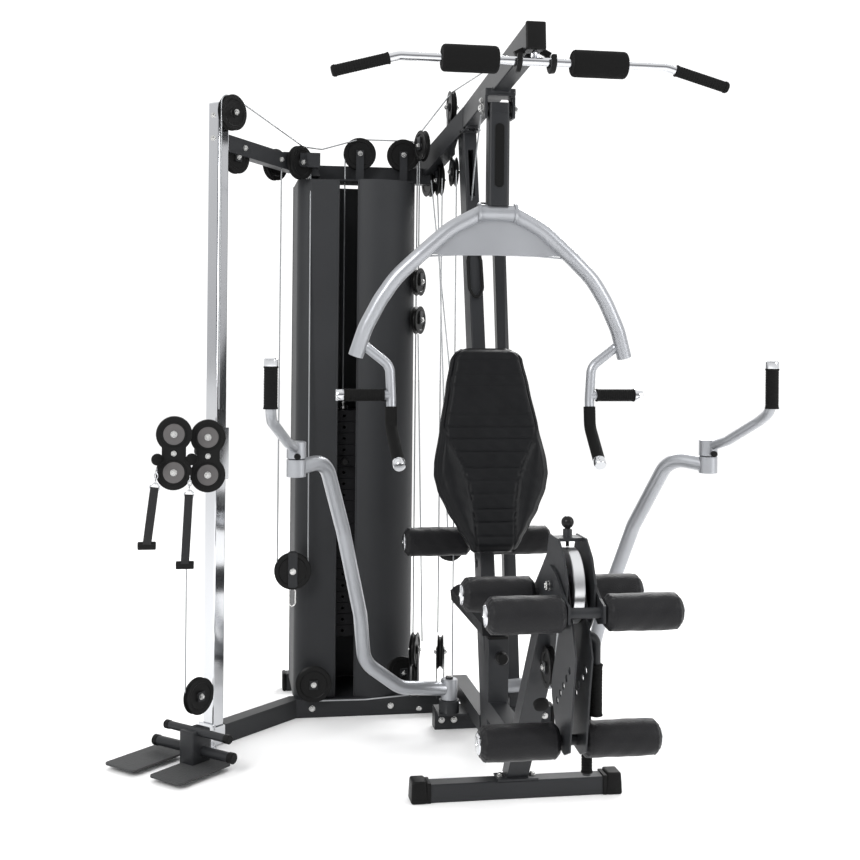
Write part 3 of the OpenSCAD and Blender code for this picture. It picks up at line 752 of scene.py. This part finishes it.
silver = skin("silver_metallic_coat", (0.34, 0.35, 0.37), 0.30, 0.6, 1600, 0.08, coat=0.25, gloss=0.5)
bow = []
for s in (-1, 1):
    bow.append(sweep("arm", ring(22.5, 36),
                     fillet([(s * 46, 308, 1627), (s * 140, 309, 1578), (s * 231, 310, 1497),
                             (s * 300, 318, 1432),
                                                 (s * 346, 330, 1363), (s * 388, 342, 1280),
                                                 (s * 414, 355, 1197)], 260)))
    bow.append(sweep("handle", ring(14.5, 28),
                     fillet([(s * 400, 353, 1240), (s * 383, 360, 1224), (s * 311, 360, 1168),
                             (s * 306, 360, 1069),
                                                    (s * 306, 352, 985), (s * 300, 235, 895)], 45)))
    bow.append(sweep("peg", ring(14.5, 28), [(s * 306, 360, 1081), (s * 458, 360, 1081)]))
    bow.append(lathe("collar", [(25, 0), (29, 1), (29, 9), (25, 10)], (s * 50, 306, 1626), (s, 0, 0), 40))
bow.append(lathe("cross", [(0, 0), (25, 0), (25, 116), (0, 116)], (-58, 306, 1626), (1, 0, 0), 48))
gusset = [(-238, 1490), (-215, 1500), (215, 1500), (238, 1490), (190, 1535), (120, 1588), (60, 1612),
          (-60, 1612), (-120, 1588), (-190, 1535)]
bow.append(flat_plate("gusset", gusset, 3,
                      Matrix.Translation(V(0, 309, 0)) @ Matrix.Rotation(math.radians(90), 4, "X"),
                      edge=0.6))
bow.append(sweep("hem", ring(2.6, 12),
                 fillet([(-236, 309, 1492), (-120, 309, 1500), (0, 309, 1502), (120, 309, 1500),
                         (236, 309, 1492)], 200)))
bow = settle(join("press_bow", bow), silver, "press_arm")
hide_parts("press_frame")


def rounded(w, h, r):
    return round_corners([(-w / 2, -h / 2), (w / 2, -h / 2), (w / 2, h / 2), (-w / 2, h / 2)], r, 4)


yoke_tube = join("press_yoke", [
    sweep("yoke", rounded(64, 52, 9), [(0, 306, 1646), (0, 306, 1952)], up=(0, 1, 0)),
    sweep("seam", rounded(66.5, 54.5, 10), [(0, 306, 1922), (0, 306, 1926)], up=(0, 1, 0)),
])
settle(yoke_tube, paint, "press_arm")
badge = flat_plate("press_badge", rounded(28, 190, 13), 2.4,
                   Matrix.Translation(V(0, 279, 1795)) @ Matrix.Rotation(math.radians(90), 4, "X"),
                   edge=0.8)
settle(badge, plastic, "press_arm")
stripe = flat_plate("press_badge_rim", rounded(23, 185, 11), 0.9,
                    Matrix.Translation(V(0, 277.6, 1795)) @ Matrix.Rotation(math.radians(90), 4, "X"),
                    edge=0.2)
settle(stripe, rubber, "press_arm")
axle = lathe("press_axle", [(0, 0), (8, 0), (8, 118), (0, 118)], (-59, 306, 1936), (1, 0, 0), 32)
settle(axle, zinc, "press_arm")
bushes = [lathe("bush", [(16.2, 0), (22, 0), (23, 1.5), (23, 5), (16.2, 5)], (s * 33, 306, 1936),
                (s, 0, 0), 36) for s in (-1, 1)]
settle(join("press_bushes", bushes), plastic, "press_arm")

p_grips, p_caps = [], []
for s in (-1, 1):
    p_grips.append(grip((s * 327, 360, 1081), (s * 448, 360, 1081), 14.6, 18.5))
    p_caps.append(lathe("cap", [(14, 0), (18, 0), (18.5, 2), (18.5, 20), (16, 24), (0, 25)],
                        (s * 448, 360, 1081), (s, 0, 0), 36))
    a, b = Vector((s * 304.9, 330, 968)), Vector((s * 300, 235, 895))
    p_grips.append(sweep("grip", ring(18.2, 30),
                         fillet([(s * 306, 359, 1046), (s * 306, 352, 985), b], 45)))
    p_caps.append(lathe("cap", [(14, 0), (18, 0), (18.5, 2), (18.5, 20), (16, 24), (0, 25)], b, b - a,
                        36))
press_grips = settle(join("press_grips_rubber", p_grips), rubber, "press_arm")
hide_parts("press_grips")
settle(join("press_grip_caps", p_caps), chrome, "press_arm")

# -------- fly arms
# Silver bent tubes that swing on upright pins at the base, and carry swivelling handles.
# The handle turns in a sleeve at the top and is locked by a small black pin.

for word, s in (("left", 1), ("right", -1)):
    def P(x, y, z):
        return (x * s, y, z)
    body = "fly_arm_" + word
    tube = join("fly_tube_" + word, [
        sweep("tube", ring(21.5, 36),
              fillet([P(-100, 570, 140), P(-246, 530, 160), P(-363, 500, 251), P(-383, 445, 410),
                      P(-447, 350, 682),
                                              P(-513, 220, 903), P(-592, 140, 890)], 95)),
        lathe("sleeve", [(24, 0), (27, 1.5), (27, 48), (24, 49.5), (10.1, 49.5), (10.1, 0), (24, 0)],
              P(-600, 135, 865), (0, 0, 1), 44),
        lathe("hub", [(12.1, 0), (24, 0), (26, 1.5), (26, 63), (24, 65), (12.1, 65), (12.1, 0)],
              P(-82, 575, 105), (0, 0, 1), 44),
    ])
    settle(tube, silver, body)
    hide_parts(body)
    body = "fly_handle_" + word
    handle = join("fly_handle_tube_" + word, [
        sweep("tube", ring(14, 30),
              fillet([P(-604, 122, 945), P(-628, 60, 966), P(-676, -50, 1030), P(-683, -115, 1063),
                      P(-683, -115, 1186)], 60)),
        lathe("sleeve", [(0, 0.4), (24, 0.4), (27, 2), (27, 46), (24, 48), (0, 48)],
              P(-600, 135, 915.4), (0, 0, 1), 44),
    ])
    settle(handle, silver, body)
    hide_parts(body)
    settle(join("fly_grip_" + word, [grip(P(-683, -115, 1068), P(-683, -115, 1178), 14.1, 18)]), rubber,
           body)
    cap = lathe("fly_cap_" + word, [(14, 0), (18, 0), (18.5, 2), (18.5, 18), (16, 21), (0, 22)],
                P(-683, -115, 1178), (0, 0, 1), 36)
    settle(cap, chrome, body)
    lock = join("fly_lock_" + word, [
        lathe("stem", [(0, 0), (4, 0), (4, 14), (0, 14)], P(-600, 108, 925), (0, -1, 0), 20),
        lathe("knob", [(0, 12), (8, 12), (9, 14), (9, 24), (7, 27), (0, 27)], P(-600, 108, 925),
              (0, -1, 0), 28),
    ])
    settle(lock, plastic, body)
settle(join("fly_pin_tops",
            [lathe("nut", [(0, 170.5), (11, 170.5), (11, 178), (9, 180), (0, 180)], (s * 82, 575, 0),
                   (0, 0, 1), 6) for s in (-1, 1)]
            + bolt((-170, 628, 60), (0, 0, 1), 9)), zinc, "frame")

# -------- back pad
# Moulded foam on a board, covered in black grained leathercloth and set into the mast's lean.
# A channelled centre panel is stitched across; the side bolsters have a seam and piping.

hide, given, result = make_group(
    "hide_grain",
    [
        ("Scale", "NodeSocketFloat", 420.0),
        ("Strength", "NodeSocketFloat", 0.35),
        ("Tone", "NodeSocketColor", (0.01, 0.01, 0.01, 1)),
    ],
    [("Color", "NodeSocketColor"), ("Rough", "NodeSocketFloat"), ("Normal", "NodeSocketVector")],
)
spot = add(hide, "TexCoord")
pores = add(hide, "TexVoronoi")
cloud = add(hide, "TexNoise", Scale=14, Detail=5)
pitted = add(hide, "Bump", Distance=0.0012)
dented = add(hide, "Bump", Distance=0.004, Strength=0.35)
polish = add(hide, "MapRange", To_Min=0.34, To_Max=0.52)
tone = add(hide, "MapRange", To_Min=0.8, To_Max=1.3)
shade = add(hide, "VectorMath", "SCALE")
wire(hide, spot, "Object", pores, "Vector")
wire(hide, given, "Scale", pores, "Scale")
wire(hide, spot, "Object", cloud, "Vector")
wire(hide, pores, "Distance", pitted, "Height")
wire(hide, given, "Strength", pitted, "Strength")
wire(hide, cloud, "Fac", dented, "Height")
wire(hide, pitted, "Normal", dented, "Normal")
wire(hide, dented, "Normal", result, "Normal")
wire(hide, cloud, "Fac", polish, "Value")
wire(hide, polish, "Result", result, "Rough")
wire(hide, cloud, "Fac", tone, "Value")
wire(hide, given, "Tone", shade, 0)
wire(hide, tone, "Result", shade, "Scale")
wire(hide, shade, 0, result, "Color")


def hide_mat(name, tone, scale, strength):
    """Leathercloth of one tone and grain size."""
    values = {"Tone": (*tone, 1), "Scale": scale, "Strength": strength}
    return finish_of(name, hide, values, Specular_IOR_Level=0.14)


leather = hide_mat("black_leathercloth", (0.0045, 0.0048, 0.0055), 420, 0.3)
lean = Matrix.Translation(V(0, 250, 0)) @ Matrix.Rotation(math.radians(-14.036), 4, "X")


def smooth(e0, e1, x):
    t = max(0.0, min(1.0, (x - e0) / (e1 - e0)))
    return t * t * (3 - 2 * t)


def along(marks, z):
    """Value read off a list of (height, value) marks."""
    for (z0, w0), (z1, w1) in zip(marks, marks[1:]):
        if z <= z1:
            return w0 + (w1 - w0) * smooth(0, 1, (z - z0) / (z1 - z0)) * 0.4 + (w1 - w0) * 0.6 * max(0,
                (z - z0) / (z1 - z0))
    return marks[-1][1]


def half_width(z):
    """Half width of the back pad at a height along the mast."""
    return along([(611, 60), (620, 71), (646, 85), (687, 109), (737, 138), (800, 165), (844, 174),
                  (880, 172), (984, 152),
                  (1111, 129), (1198, 112), (1220, 98), (1232, 78)], z)


def panel_width(z):
    """Half width of the quilted centre panel, which narrows in a V below the shoulders."""
    return along([(611, 55), (696, 60), (780, 70), (819, 78), (860, 91), (908, 112), (960, 136),
                  (984, 141), (1111, 118), (1200, 101), (1232, 70)], z)


seams = [1194, 1148, 1112, 1021, 984, 947, 908, 860, 819, 780, 735, 696, 653]


def slab_faces(rows, cols):
    """Faces of a padded slab: a front grid of points, then a back grid, closed round the edge."""
    row = cols + 1
    back = (rows + 1) * row
    faces = []
    for i in range(rows):
        for j in range(cols):
            a = i * row + j
            faces.append((a, a + 1, a + row + 1, a + row))
            faces.append((back + a, back + a + row, back + a + row + 1, back + a + 1))
        a = i * row
        faces.append((a, a + row, back + a + row, back + a))
        a += cols
        faces.append((a, back + a, back + a + row, a + row))
    for j in range(cols):
        a = rows * row + j
        faces.append((j, back + j, back + j + 1, j + 1))
        faces.append((a, a + 1, back + a + 1, back + a))
    return faces


nz, nx = 190, 74
verts = []
for i in range(nz + 1):
    z = 611.5 + 620 * i / nz
    w = half_width(z)
    for j in range(nx + 1):
        u = -1 + 2 * j / nx
        x = w * math.sin(u * math.pi / 2)
        from_side = w - abs(x)
        from_end = min(z - 611, 1232 - z)
        edge_drop = 20 * (1 - smooth(0, 26, from_side)) ** 1.6 + 20 * (1 - smooth(0, 26, from_end)) ** 1.6
        panel = panel_width(z)
        bolster = 7 * math.exp(-((abs(x) - (panel + w) / 2) / (0.32 * (w - panel) + 4)) ** 2)
        bolster *= smooth(14, 40, w - panel)
        groove = 5.0 * math.exp(-((abs(x) - panel) / 3.0) ** 2)
        piping = 2.2 * math.exp(-((from_side - 7) / 2.2) ** 2)
        quilt = 0
        if abs(x) < panel:
            for sz in seams:
                quilt += 3.4 * math.exp(-((z - sz) / 3.2) ** 2)
            wide_gap = smooth(0, 8, panel - abs(x))
            quilt *= wide_gap
        wrinkle = 0.5 * math.sin(x * 0.11 + z * 0.06) * math.sin(z * 0.09)
        depth = 52 - min(edge_drop, 34) + bolster - groove - quilt + piping + wrinkle
        verts.append(lean @ V(x, -78 - depth, z))
for i in range(nz + 1):
    z = 611.5 + 620 * i / nz
    w = half_width(z) - 2
    for j in range(nx + 1):
        verts.append(lean @ V(w * math.sin((-1 + 2 * j / nx) * math.pi / 2), -78.2, z))
pad = mesh_object("back_pad_cushion", verts, slab_faces(nz, nx))
settle(pad, leather, "backrest", 60)
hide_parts("back_pad")
board = flat_plate("back_pad_board",
                   round_corners([(-62, 622), (62, 622), (128, 737), (162, 844), (140, 984),
                                  (104, 1190), (76, 1222), (-76, 1222),
                                                   (-104, 1190), (-140, 984), (-162, 844), (-128, 737)],
                                                   20), 7,
                   lean @ Matrix.Translation(V(0, -75, 0)) @ Matrix.Rotation(math.radians(90), 4, "X"))
settle(board, plastic, "backrest")

# -------- seat pad
# Rectangular foam cushion in the same leathercloth on its post, with piping round its top.


def cushion(name, w, d, h, at, crown=6):
    """Upholstered block: crowned top, soft edges and a piped seam."""
    n, m = 60, 80
    verts = []
    for inset in (0, 3):
        for i in range(m + 1):
            for j in range(n + 1):
                x = math.sin((-1 + 2 * j / n) * math.pi / 2) * (w / 2 - inset)
                y = math.sin((-1 + 2 * i / m) * math.pi / 2) * (d / 2 - inset)
                z = 1
                if not inset:
                    e = min(w / 2 - abs(x), d / 2 - abs(y))
                    z = h - 18 * (1 - smooth(0, 24, e)) ** 1.5 + 2 * math.exp(-((e - 8) / 2.2) ** 2)
                    z -= crown * ((2 * x / w) ** 2 + (2 * y / d) ** 2) / 2
                verts.append(V(at[0] + x, at[1] + y, at[2] + z))
    return mesh_object(name, verts, slab_faces(m, n))


seat_lo, seat_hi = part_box("seat_pad")
seat = cushion("seat_cushion", 284, (seat_hi[1] - seat_lo[1]) * 1000, 55,
               (0, (seat_hi[1] + seat_lo[1]) * 500, 488))
settle(seat, leather, "seat", 60)
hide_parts("seat_pad")
collar = join("seat_sleeve_bush", [
    sweep("bush", rounded(62, 62, 6), [(0, 260, 374), (0, 260, 382)], up=(0, 1, 0)),
    lathe("knob", [(0, 0), (6, 0), (6, 30), (16, 32), (18, 36), (18, 52), (14, 58), (0, 58)],
          (0, 230, 330), (0, -1, 0), 36),
])
settle(collar, plastic, "frame")

# -------- rollers
# Foam rolls in stitched black leathercloth on chrome-capped tubes: waist pair behind the mast,
# knee pair on the head, shin and ankle pairs on the lever. The cover is drawn in at each end.

roll_mat = hide_mat("roller_cover", (0.011, 0.011, 0.012), 330, 0.5)


def roll(x0, x1, y, z, d):
    """Covered foam roll along X with gathered ends."""
    r = d / 2
    n, seg = int(abs(x1 - x0) / 3), 72
    v, f = [], []
    sgn = 1 if x1 > x0 else -1
    length = abs(x1 - x0)
    for i in range(n + 1):
        t = length * i / n
        e = min(t, length - t)
        for k in range(seg):
            a = math.tau * k / seg
            rr = r - 11 * (1 - smooth(0, 15, e)) ** 1.7
            rr += 1.1 * math.exp(-((e - 7) / 5) ** 2) * math.sin(18 * a)
            rr -= 1.2 * math.exp(-((e - 16) / 1.6) ** 2)
            rr += 0.5 * math.sin(t * 0.045 + 2 * a) + 0.3 * math.sin(t * 0.13 + 5 * a)
            v.append(V(x0 + sgn * t, y + rr * math.cos(a), z + rr * math.sin(a)))
    for i in range(n):
        for k in range(seg):
            j = (k + 1) % seg
            f.append((i * seg + k, i * seg + j, (i + 1) * seg + j, (i + 1) * seg + k))
    f.append(tuple(range(seg)))
    f.append(tuple(n * seg + k for k in reversed(range(seg))))
    return mesh_object("roll", v, f)


def roller_set(name, y, z, d, x0, x1, body, tube_r=12.5):
    rolls = settle(join(name + "_foam", [roll(s * x0, s * x1, y, z, d) for s in (-1, 1)]), roll_mat,
                   body, 60)
    ends = [lathe("cap", [(0, 0), (23, 0), (25, 1.5), (25, 4), (22, 6), (6, 6.5), (5, 4.5), (0, 4.5)],
                  (s * x1, y, z), (s, 0, 0), 44) for s in (-1, 1)]
    settle(join(name + "_end_caps", ends), chrome, body)
    bar = lathe(name + "_tube", [(0, 0), (tube_r, 0), (tube_r, 2 * x0 + 12), (0, 2 * x0 + 12)],
                (-x0 - 6, y, z), (1, 0, 0), 36)
    settle(bar, paint, body)
    return rolls


waist = roller_set("waist_roller", 553, 610, 90, 28, 232, "frame")
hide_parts("waist_roller")
knee = roller_set("knee_roller", -360, 630, 85, 48, 225, "frame")
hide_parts("knee_rollers")
shin = roller_set("shin_roller", -640, 640, 85, 48, 225, "leg_lever")
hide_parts("leg_rollers")
roller_set("ankle_roller", -530, 320, 85, 28, 215, "leg_lever")

# -------- leg developer
# Two laser-cut steel plates with a row of holes hang from an axle in the D-shaped head.
# A silver grooved cam between them winds the cable; a sprung pin with a ball sets its angle.

dress("leg_lever", paint, 0.0012)
rim_silver = plated("cam_rim", (0.66, 0.67, 0.68), 0.28)
cam = lathe("leg_cam_rim",
            [(10.1, -14), (20, -14), (22, -9), (66, -9), (70, -14), (86, -14), (88, -12), (88, 12),
             (86, 14), (70, 14), (66, 9), (22, 9), (20, 14), (10.1, 14), (10.1, -14)],
            (0, -520, 680), (1, 0, 0), 96)
settle(cam, rim_silver, "leg_lever")
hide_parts("leg_cam")


def ball_round(r, z=0):
    """Half round that turns into a ball of radius r, centred at z along the axis."""
    return [(r * math.sin(math.pi * k / 16), z - r * math.cos(math.pi * k / 16)) for k in range(17)]


pop = join("leg_pin_ball", [
    lathe("stem", [(0, 0), (4, 0), (4, 46), (0, 46)], (0, -497, 767), (0, 0, 1), 24),
    lathe("neck", [(0, 40), (7, 40), (6, 46), (5, 48), (0, 48)], (0, -497, 767), (0, 0, 1), 24),
    lathe("ball", ball_round(15, 57), (0, -497, 767), (0, 0, 1), 36),
])
settle(pop, skin("ball_gloss", (0.01, 0.01, 0.01), 0.12, 0.0, 900, 0.02), "leg_pin")
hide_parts("leg_pin")
curl = join("curl_handle_tubes", [
    sweep("tube", ring(10.5, 26), fillet([(22, -540, 570), (60, -540, 562), (60, -540, 376)], 26)),
    sweep("tube", ring(10.5, 26), fillet([(22, -468, 440), (60, -468, 430), (60, -472, 216)], 24)),
])
settle(curl, paint, "leg_lever")
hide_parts("curl_handles")
settle(join("curl_handle_grips",
            [grip((60, -540, 498), (60, -540, 378), 10.6, 15),
             grip((60, -469.6, 345), (60, -472, 222), 10.6, 13)]), rubber, "leg_lever")
lever_bolts = []
for s in (-1, 1):
    lever_bolts += bolt((s * 50, -520, 680), (s, 0, 0), 12) + bolt((s * 21, -530, 320), (s, 0, 0), 9)
settle(join("lever_bolts", lever_bolts), zinc, "leg_lever")
bumper = lathe("post_bumper", [(0, 0), (20, 0), (20.5, 3), (19, 12), (14, 16), (0, 17)], (0, -262, 330),
               (0.0, -0.823, -0.568), 40)
settle(bumper, rubber, "frame")

# -------- carriage and twin pulley heads
# Chrome sleeve that slides on the column, with a sprung knob, carrying two swivel heads.
# Each head is a figure-8 pair of black covers over two pulleys, with tinted centre windows.

dress("carriage", chrome, 0.0015)
knob = join("carriage_knob_moulded", [
    lathe("stem", [(0, 0), (5, 0), (5, 32), (0, 32)], (-820 - 0.7071 * 23, 557 + 0.7071 * 23, 895),
          (-0.7071, 0.7071, 0), 24),
    lathe("knob", [(0, 30), (12, 30), (16, 33), (17.5, 38), (17.5, 50), (14, 57), (0, 58)],
          (-820 - 0.7071 * 23, 557 + 0.7071 * 23, 895), (-0.7071, 0.7071, 0), 36),
])
settle(knob, plastic, "carriage_knob")
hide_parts("carriage_knob")
tint = skin("tinted_window", (0.09, 0.085, 0.085), 0.12, 0.0, 300, 0.03, coat=0.6)


def eight(r, gap):
    """Figure-8 outline: two circles one above the other with a soft waist."""
    out = []
    for k in range(33):
        a = math.radians(-48 + 276 * k / 32)
        out.append((r * math.cos(a), gap + r * math.sin(a)))
    for k in range(33):
        a = math.radians(180 - 48 + 276 * k / 32)
        out.append((r * math.cos(a), -gap + r * math.sin(a)))
    return out


for word, (x, y, z), (px, py) in (("left", (-941, 400, 908), (-921.1, 467.2)),
                                  ("right", (-843, 446, 895), (-841.2, 479.2))):
    body = "head_" + word
    upright = Matrix.Translation(V(x, y, z)) @ Matrix.Rotation(math.radians(90), 4, "X")
    covers = [flat_plate("cover", eight(52, 56), 6, Matrix.Translation(V(0, s * 10, 0)) @ upright,
                         edge=1.8) for s in (-1, 1)]
    for dz in (-56, 56):
        covers.append(lathe("core", [(5, -7), (44, -7), (44, 7), (5, 7), (5, -7)], (x, y, z + dz),
                            (0, 1, 0), 56))
        for s in (-1, 1):
            covers.append(lathe("rim",
                                [(32, 0), (36, 0), (37, 2), (36, 3.4), (32, 3.4), (31, 2), (32, 0)],
                                (x, y + s * 12.6, z + dz), (0, s, 0), 56))
    covers.append(sweep("arm", rounded(13, 58, 5), [(x, y, z), (px, py, z)]))
    covers.append(lathe("swivel", [(0, 841.5), (8, 841.5), (9, 843), (9, 958), (8, 959.5), (0, 959.5)],
                        (px, py, 0), (0, 0, 1), 32))
    head = settle(join("head_covers_" + word, covers), nylon, body)
    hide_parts(body)
    windows, nuts = [], []
    for dz in (-56, 56):
        for s in (-1, 1):
            windows.append(lathe("window", [(0, 0), (31.5, 0), (31.5, 1.2), (0, 1.2)],
                                 (x, y + s * 12.8, z + dz), (0, s, 0), 48))
            nuts += bolt((x, y + s * 14, z + dz), (0, s, 0), 10)
    nuts += bolt((x, y - 13, z), (0, -1, 0), 8) + bolt((px, py, 971.2), (0, 0, 1),
                                                       8) + bolt((px, py, 829.8), (0, 0, -1), 8)
    settle(join("head_windows_" + word, windows), tint, body)
    settle(join("head_bolts_" + word, nuts), zinc, body)
    cable("head_cable_" + word, [(x - 46, 380, 893), (x - 30, y + 4, 899)], body)

# -------- strap handles
# Woven black straps with a moulded grip tube, on a short chain of links and a snap hook.
# They hang from the ball stops of the two heads.

weave, given, result = make_group("weave", [("Scale", "NodeSocketFloat", 900.0)],
                                  [("Normal", "NodeSocketVector")])
spot = add(weave, "TexCoord")
rows = add(weave, "TexWave", Distortion=0.4)
ribs = add(weave, "Bump", Distance=0.0008, Strength=0.7)
wire(weave, spot, "Object", rows, "Vector")
wire(weave, given, "Scale", rows, "Scale")
wire(weave, rows, "Fac", ribs, "Height")
wire(weave, ribs, "Normal", result, "Normal")
webbing = finish_of("black_webbing", weave, {}, Base_Color=(0.012, 0.012, 0.013, 1), Roughness=0.8)
webs, links, bars, balls = [], [], [], []
for stop, top, low in ((-987, (-994, 362, 812), (-1015, 362, 640)),
                       (-889, (-896, 362, 790), (-906, 362, 582))):
    top, low = Vector(top), Vector(low)
    d = (low - top).normalized()
    across = Vector((0, 1, 0))
    balls.append(lathe("stop", ball_round(17.5), (stop, 362, 893), (0, 0, 1), 36))
    for s in (-1, 1):
        a, b = top + across * s * 5, low + across * s * 11 - d * 10
        mid = (a + b) / 2 + across * s * 7
        webs.append(sweep("web", [(-12, -1.3), (12, -1.3), (12, 1.3), (-12, 1.3)],
                          fillet([a, mid, b, low + across * s * 2], 40), up=(0, 1, 0)))
    bars.append(lathe("bar", [(0, -26), (10, -26), (12, -24), (12, 24), (10, 26), (0, 26)], low - d * 4,
                      (1, 0, 0), 32))
    links.append(sweep("ring", ring(2.2, 12),
                       [top + Vector((13 * math.cos(math.tau * k / 24), 0,
                                      13 * math.sin(math.tau * k / 24))) for k in range(25)]))
    for k in range(3):
        c = top - d * (20 + 14 * k)
        across_x, across_y = (1, 0) if k % 2 else (0, 1)
        links.append(sweep("link", ring(1.6, 10),
                            [c + Vector((5 * across_x * math.cos(math.tau * q / 16),
                                         5 * across_y * math.cos(math.tau * q / 16),
                                         9 * math.sin(math.tau * q / 16))) for q in range(17)]))
straps = settle(join("strap_webbing", webs), webbing, "straps")
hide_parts("straps")
settle(join("strap_grip_bars", bars), plastic, "straps")
settle(join("strap_links", links), chrome, "straps")
settle(join("cable_stops", balls), rubber, "straps")

# -------- floor, light and camera
# Plain pale floor and even studio light; the camera stands in front, a little to the left.

floor = mesh_object("floor",
                    [(-30, -30, -0.0005), (30, -30, -0.0005), (30, 30, -0.0005), (-30, 30, -0.0005)],
                    [(0, 1, 2, 3)])
floor_mat = bpy.data.materials.new("pale_floor")
floor_mat.use_nodes = True
fb = floor_mat.node_tree.nodes["Principled BSDF"]
fb.inputs["Base Color"].default_value = (0.98, 0.98, 0.98, 1)
fb.inputs["Roughness"].default_value = 0.9
fb.inputs["Specular IOR Level"].default_value = 0.1
floor.data.materials.append(floor_mat)

world = bpy.data.worlds.new("studio")
bpy.context.scene.world = world
world.use_nodes = True
wt = world.node_tree
bg = wt.nodes["Background"]
spot = add(wt, "TexCoord")
sep = add(wt, "SeparateXYZ")
lift_up = add(wt, "Math", "MULTIPLY_ADD")
lift_up.inputs[1].default_value = 1.5
span = add(wt, "MapRange", From_Min=-0.6, From_Max=0.75)
ramp = add(wt, "ValToRGB")
ramp.color_ramp.elements[0].color = (0.22, 0.22, 0.23, 1)
ramp.color_ramp.elements[1].color = (1, 1, 1, 1)
wire(wt, spot, "Generated", sep, "Vector")
wire(wt, sep, "Z", lift_up, 0)
wire(wt, sep, "Y", lift_up, 2)
wire(wt, lift_up, 0, span, "Value")
wire(wt, span, "Result", ramp, "Fac")
wire(wt, ramp, "Color", bg, "Color")
bg.inputs["Strength"].default_value = 1.18


def lamp(name, at, target, size, power):
    data = bpy.data.lights.new(name, "AREA")
    data.shape = "RECTANGLE"
    data.size, data.size_y = size
    data.energy = power
    o = bpy.data.objects.new(name, data)
    o.location = at
    o.rotation_euler = (Vector(target) - Vector(at)).to_track_quat("-Z", "Y").to_euler()
    bpy.context.scene.collection.objects.link(o)


lamp("key", (-3.2, -3.4, 3.4), (-0.2, 0.2, 1.0), (2.2, 2.2), 170)
lamp("fill", (3.4, -2.6, 2.2), (0, 0, 1.0), (1.6, 2.6), 90)
lamp("back", (1.5, 3.5, 3.2), (-0.2, 0.4, 1.2), (2.4, 1.2), 110)

cam_data = bpy.data.cameras.new("camera")
cam_data.sensor_width = 36
cam_data.lens = 53.7
cam_data.shift_y = -0.114
cam = bpy.data.objects.new("camera", cam_data)
cam.matrix_world = (
    Matrix.Translation((-0.8247, -3.4306, 1.27))
    @ Matrix.Rotation(math.radians(-9.5), 4, "Z")
    @ Matrix.Rotation(math.radians(90), 4, "X")
    @ Matrix.Rotation(math.radians(0.54), 4, "Z")
)
bpy.context.scene.collection.objects.link(cam)
bpy.context.scene.camera = cam
bpy.context.scene.view_settings.view_transform = "Standard"
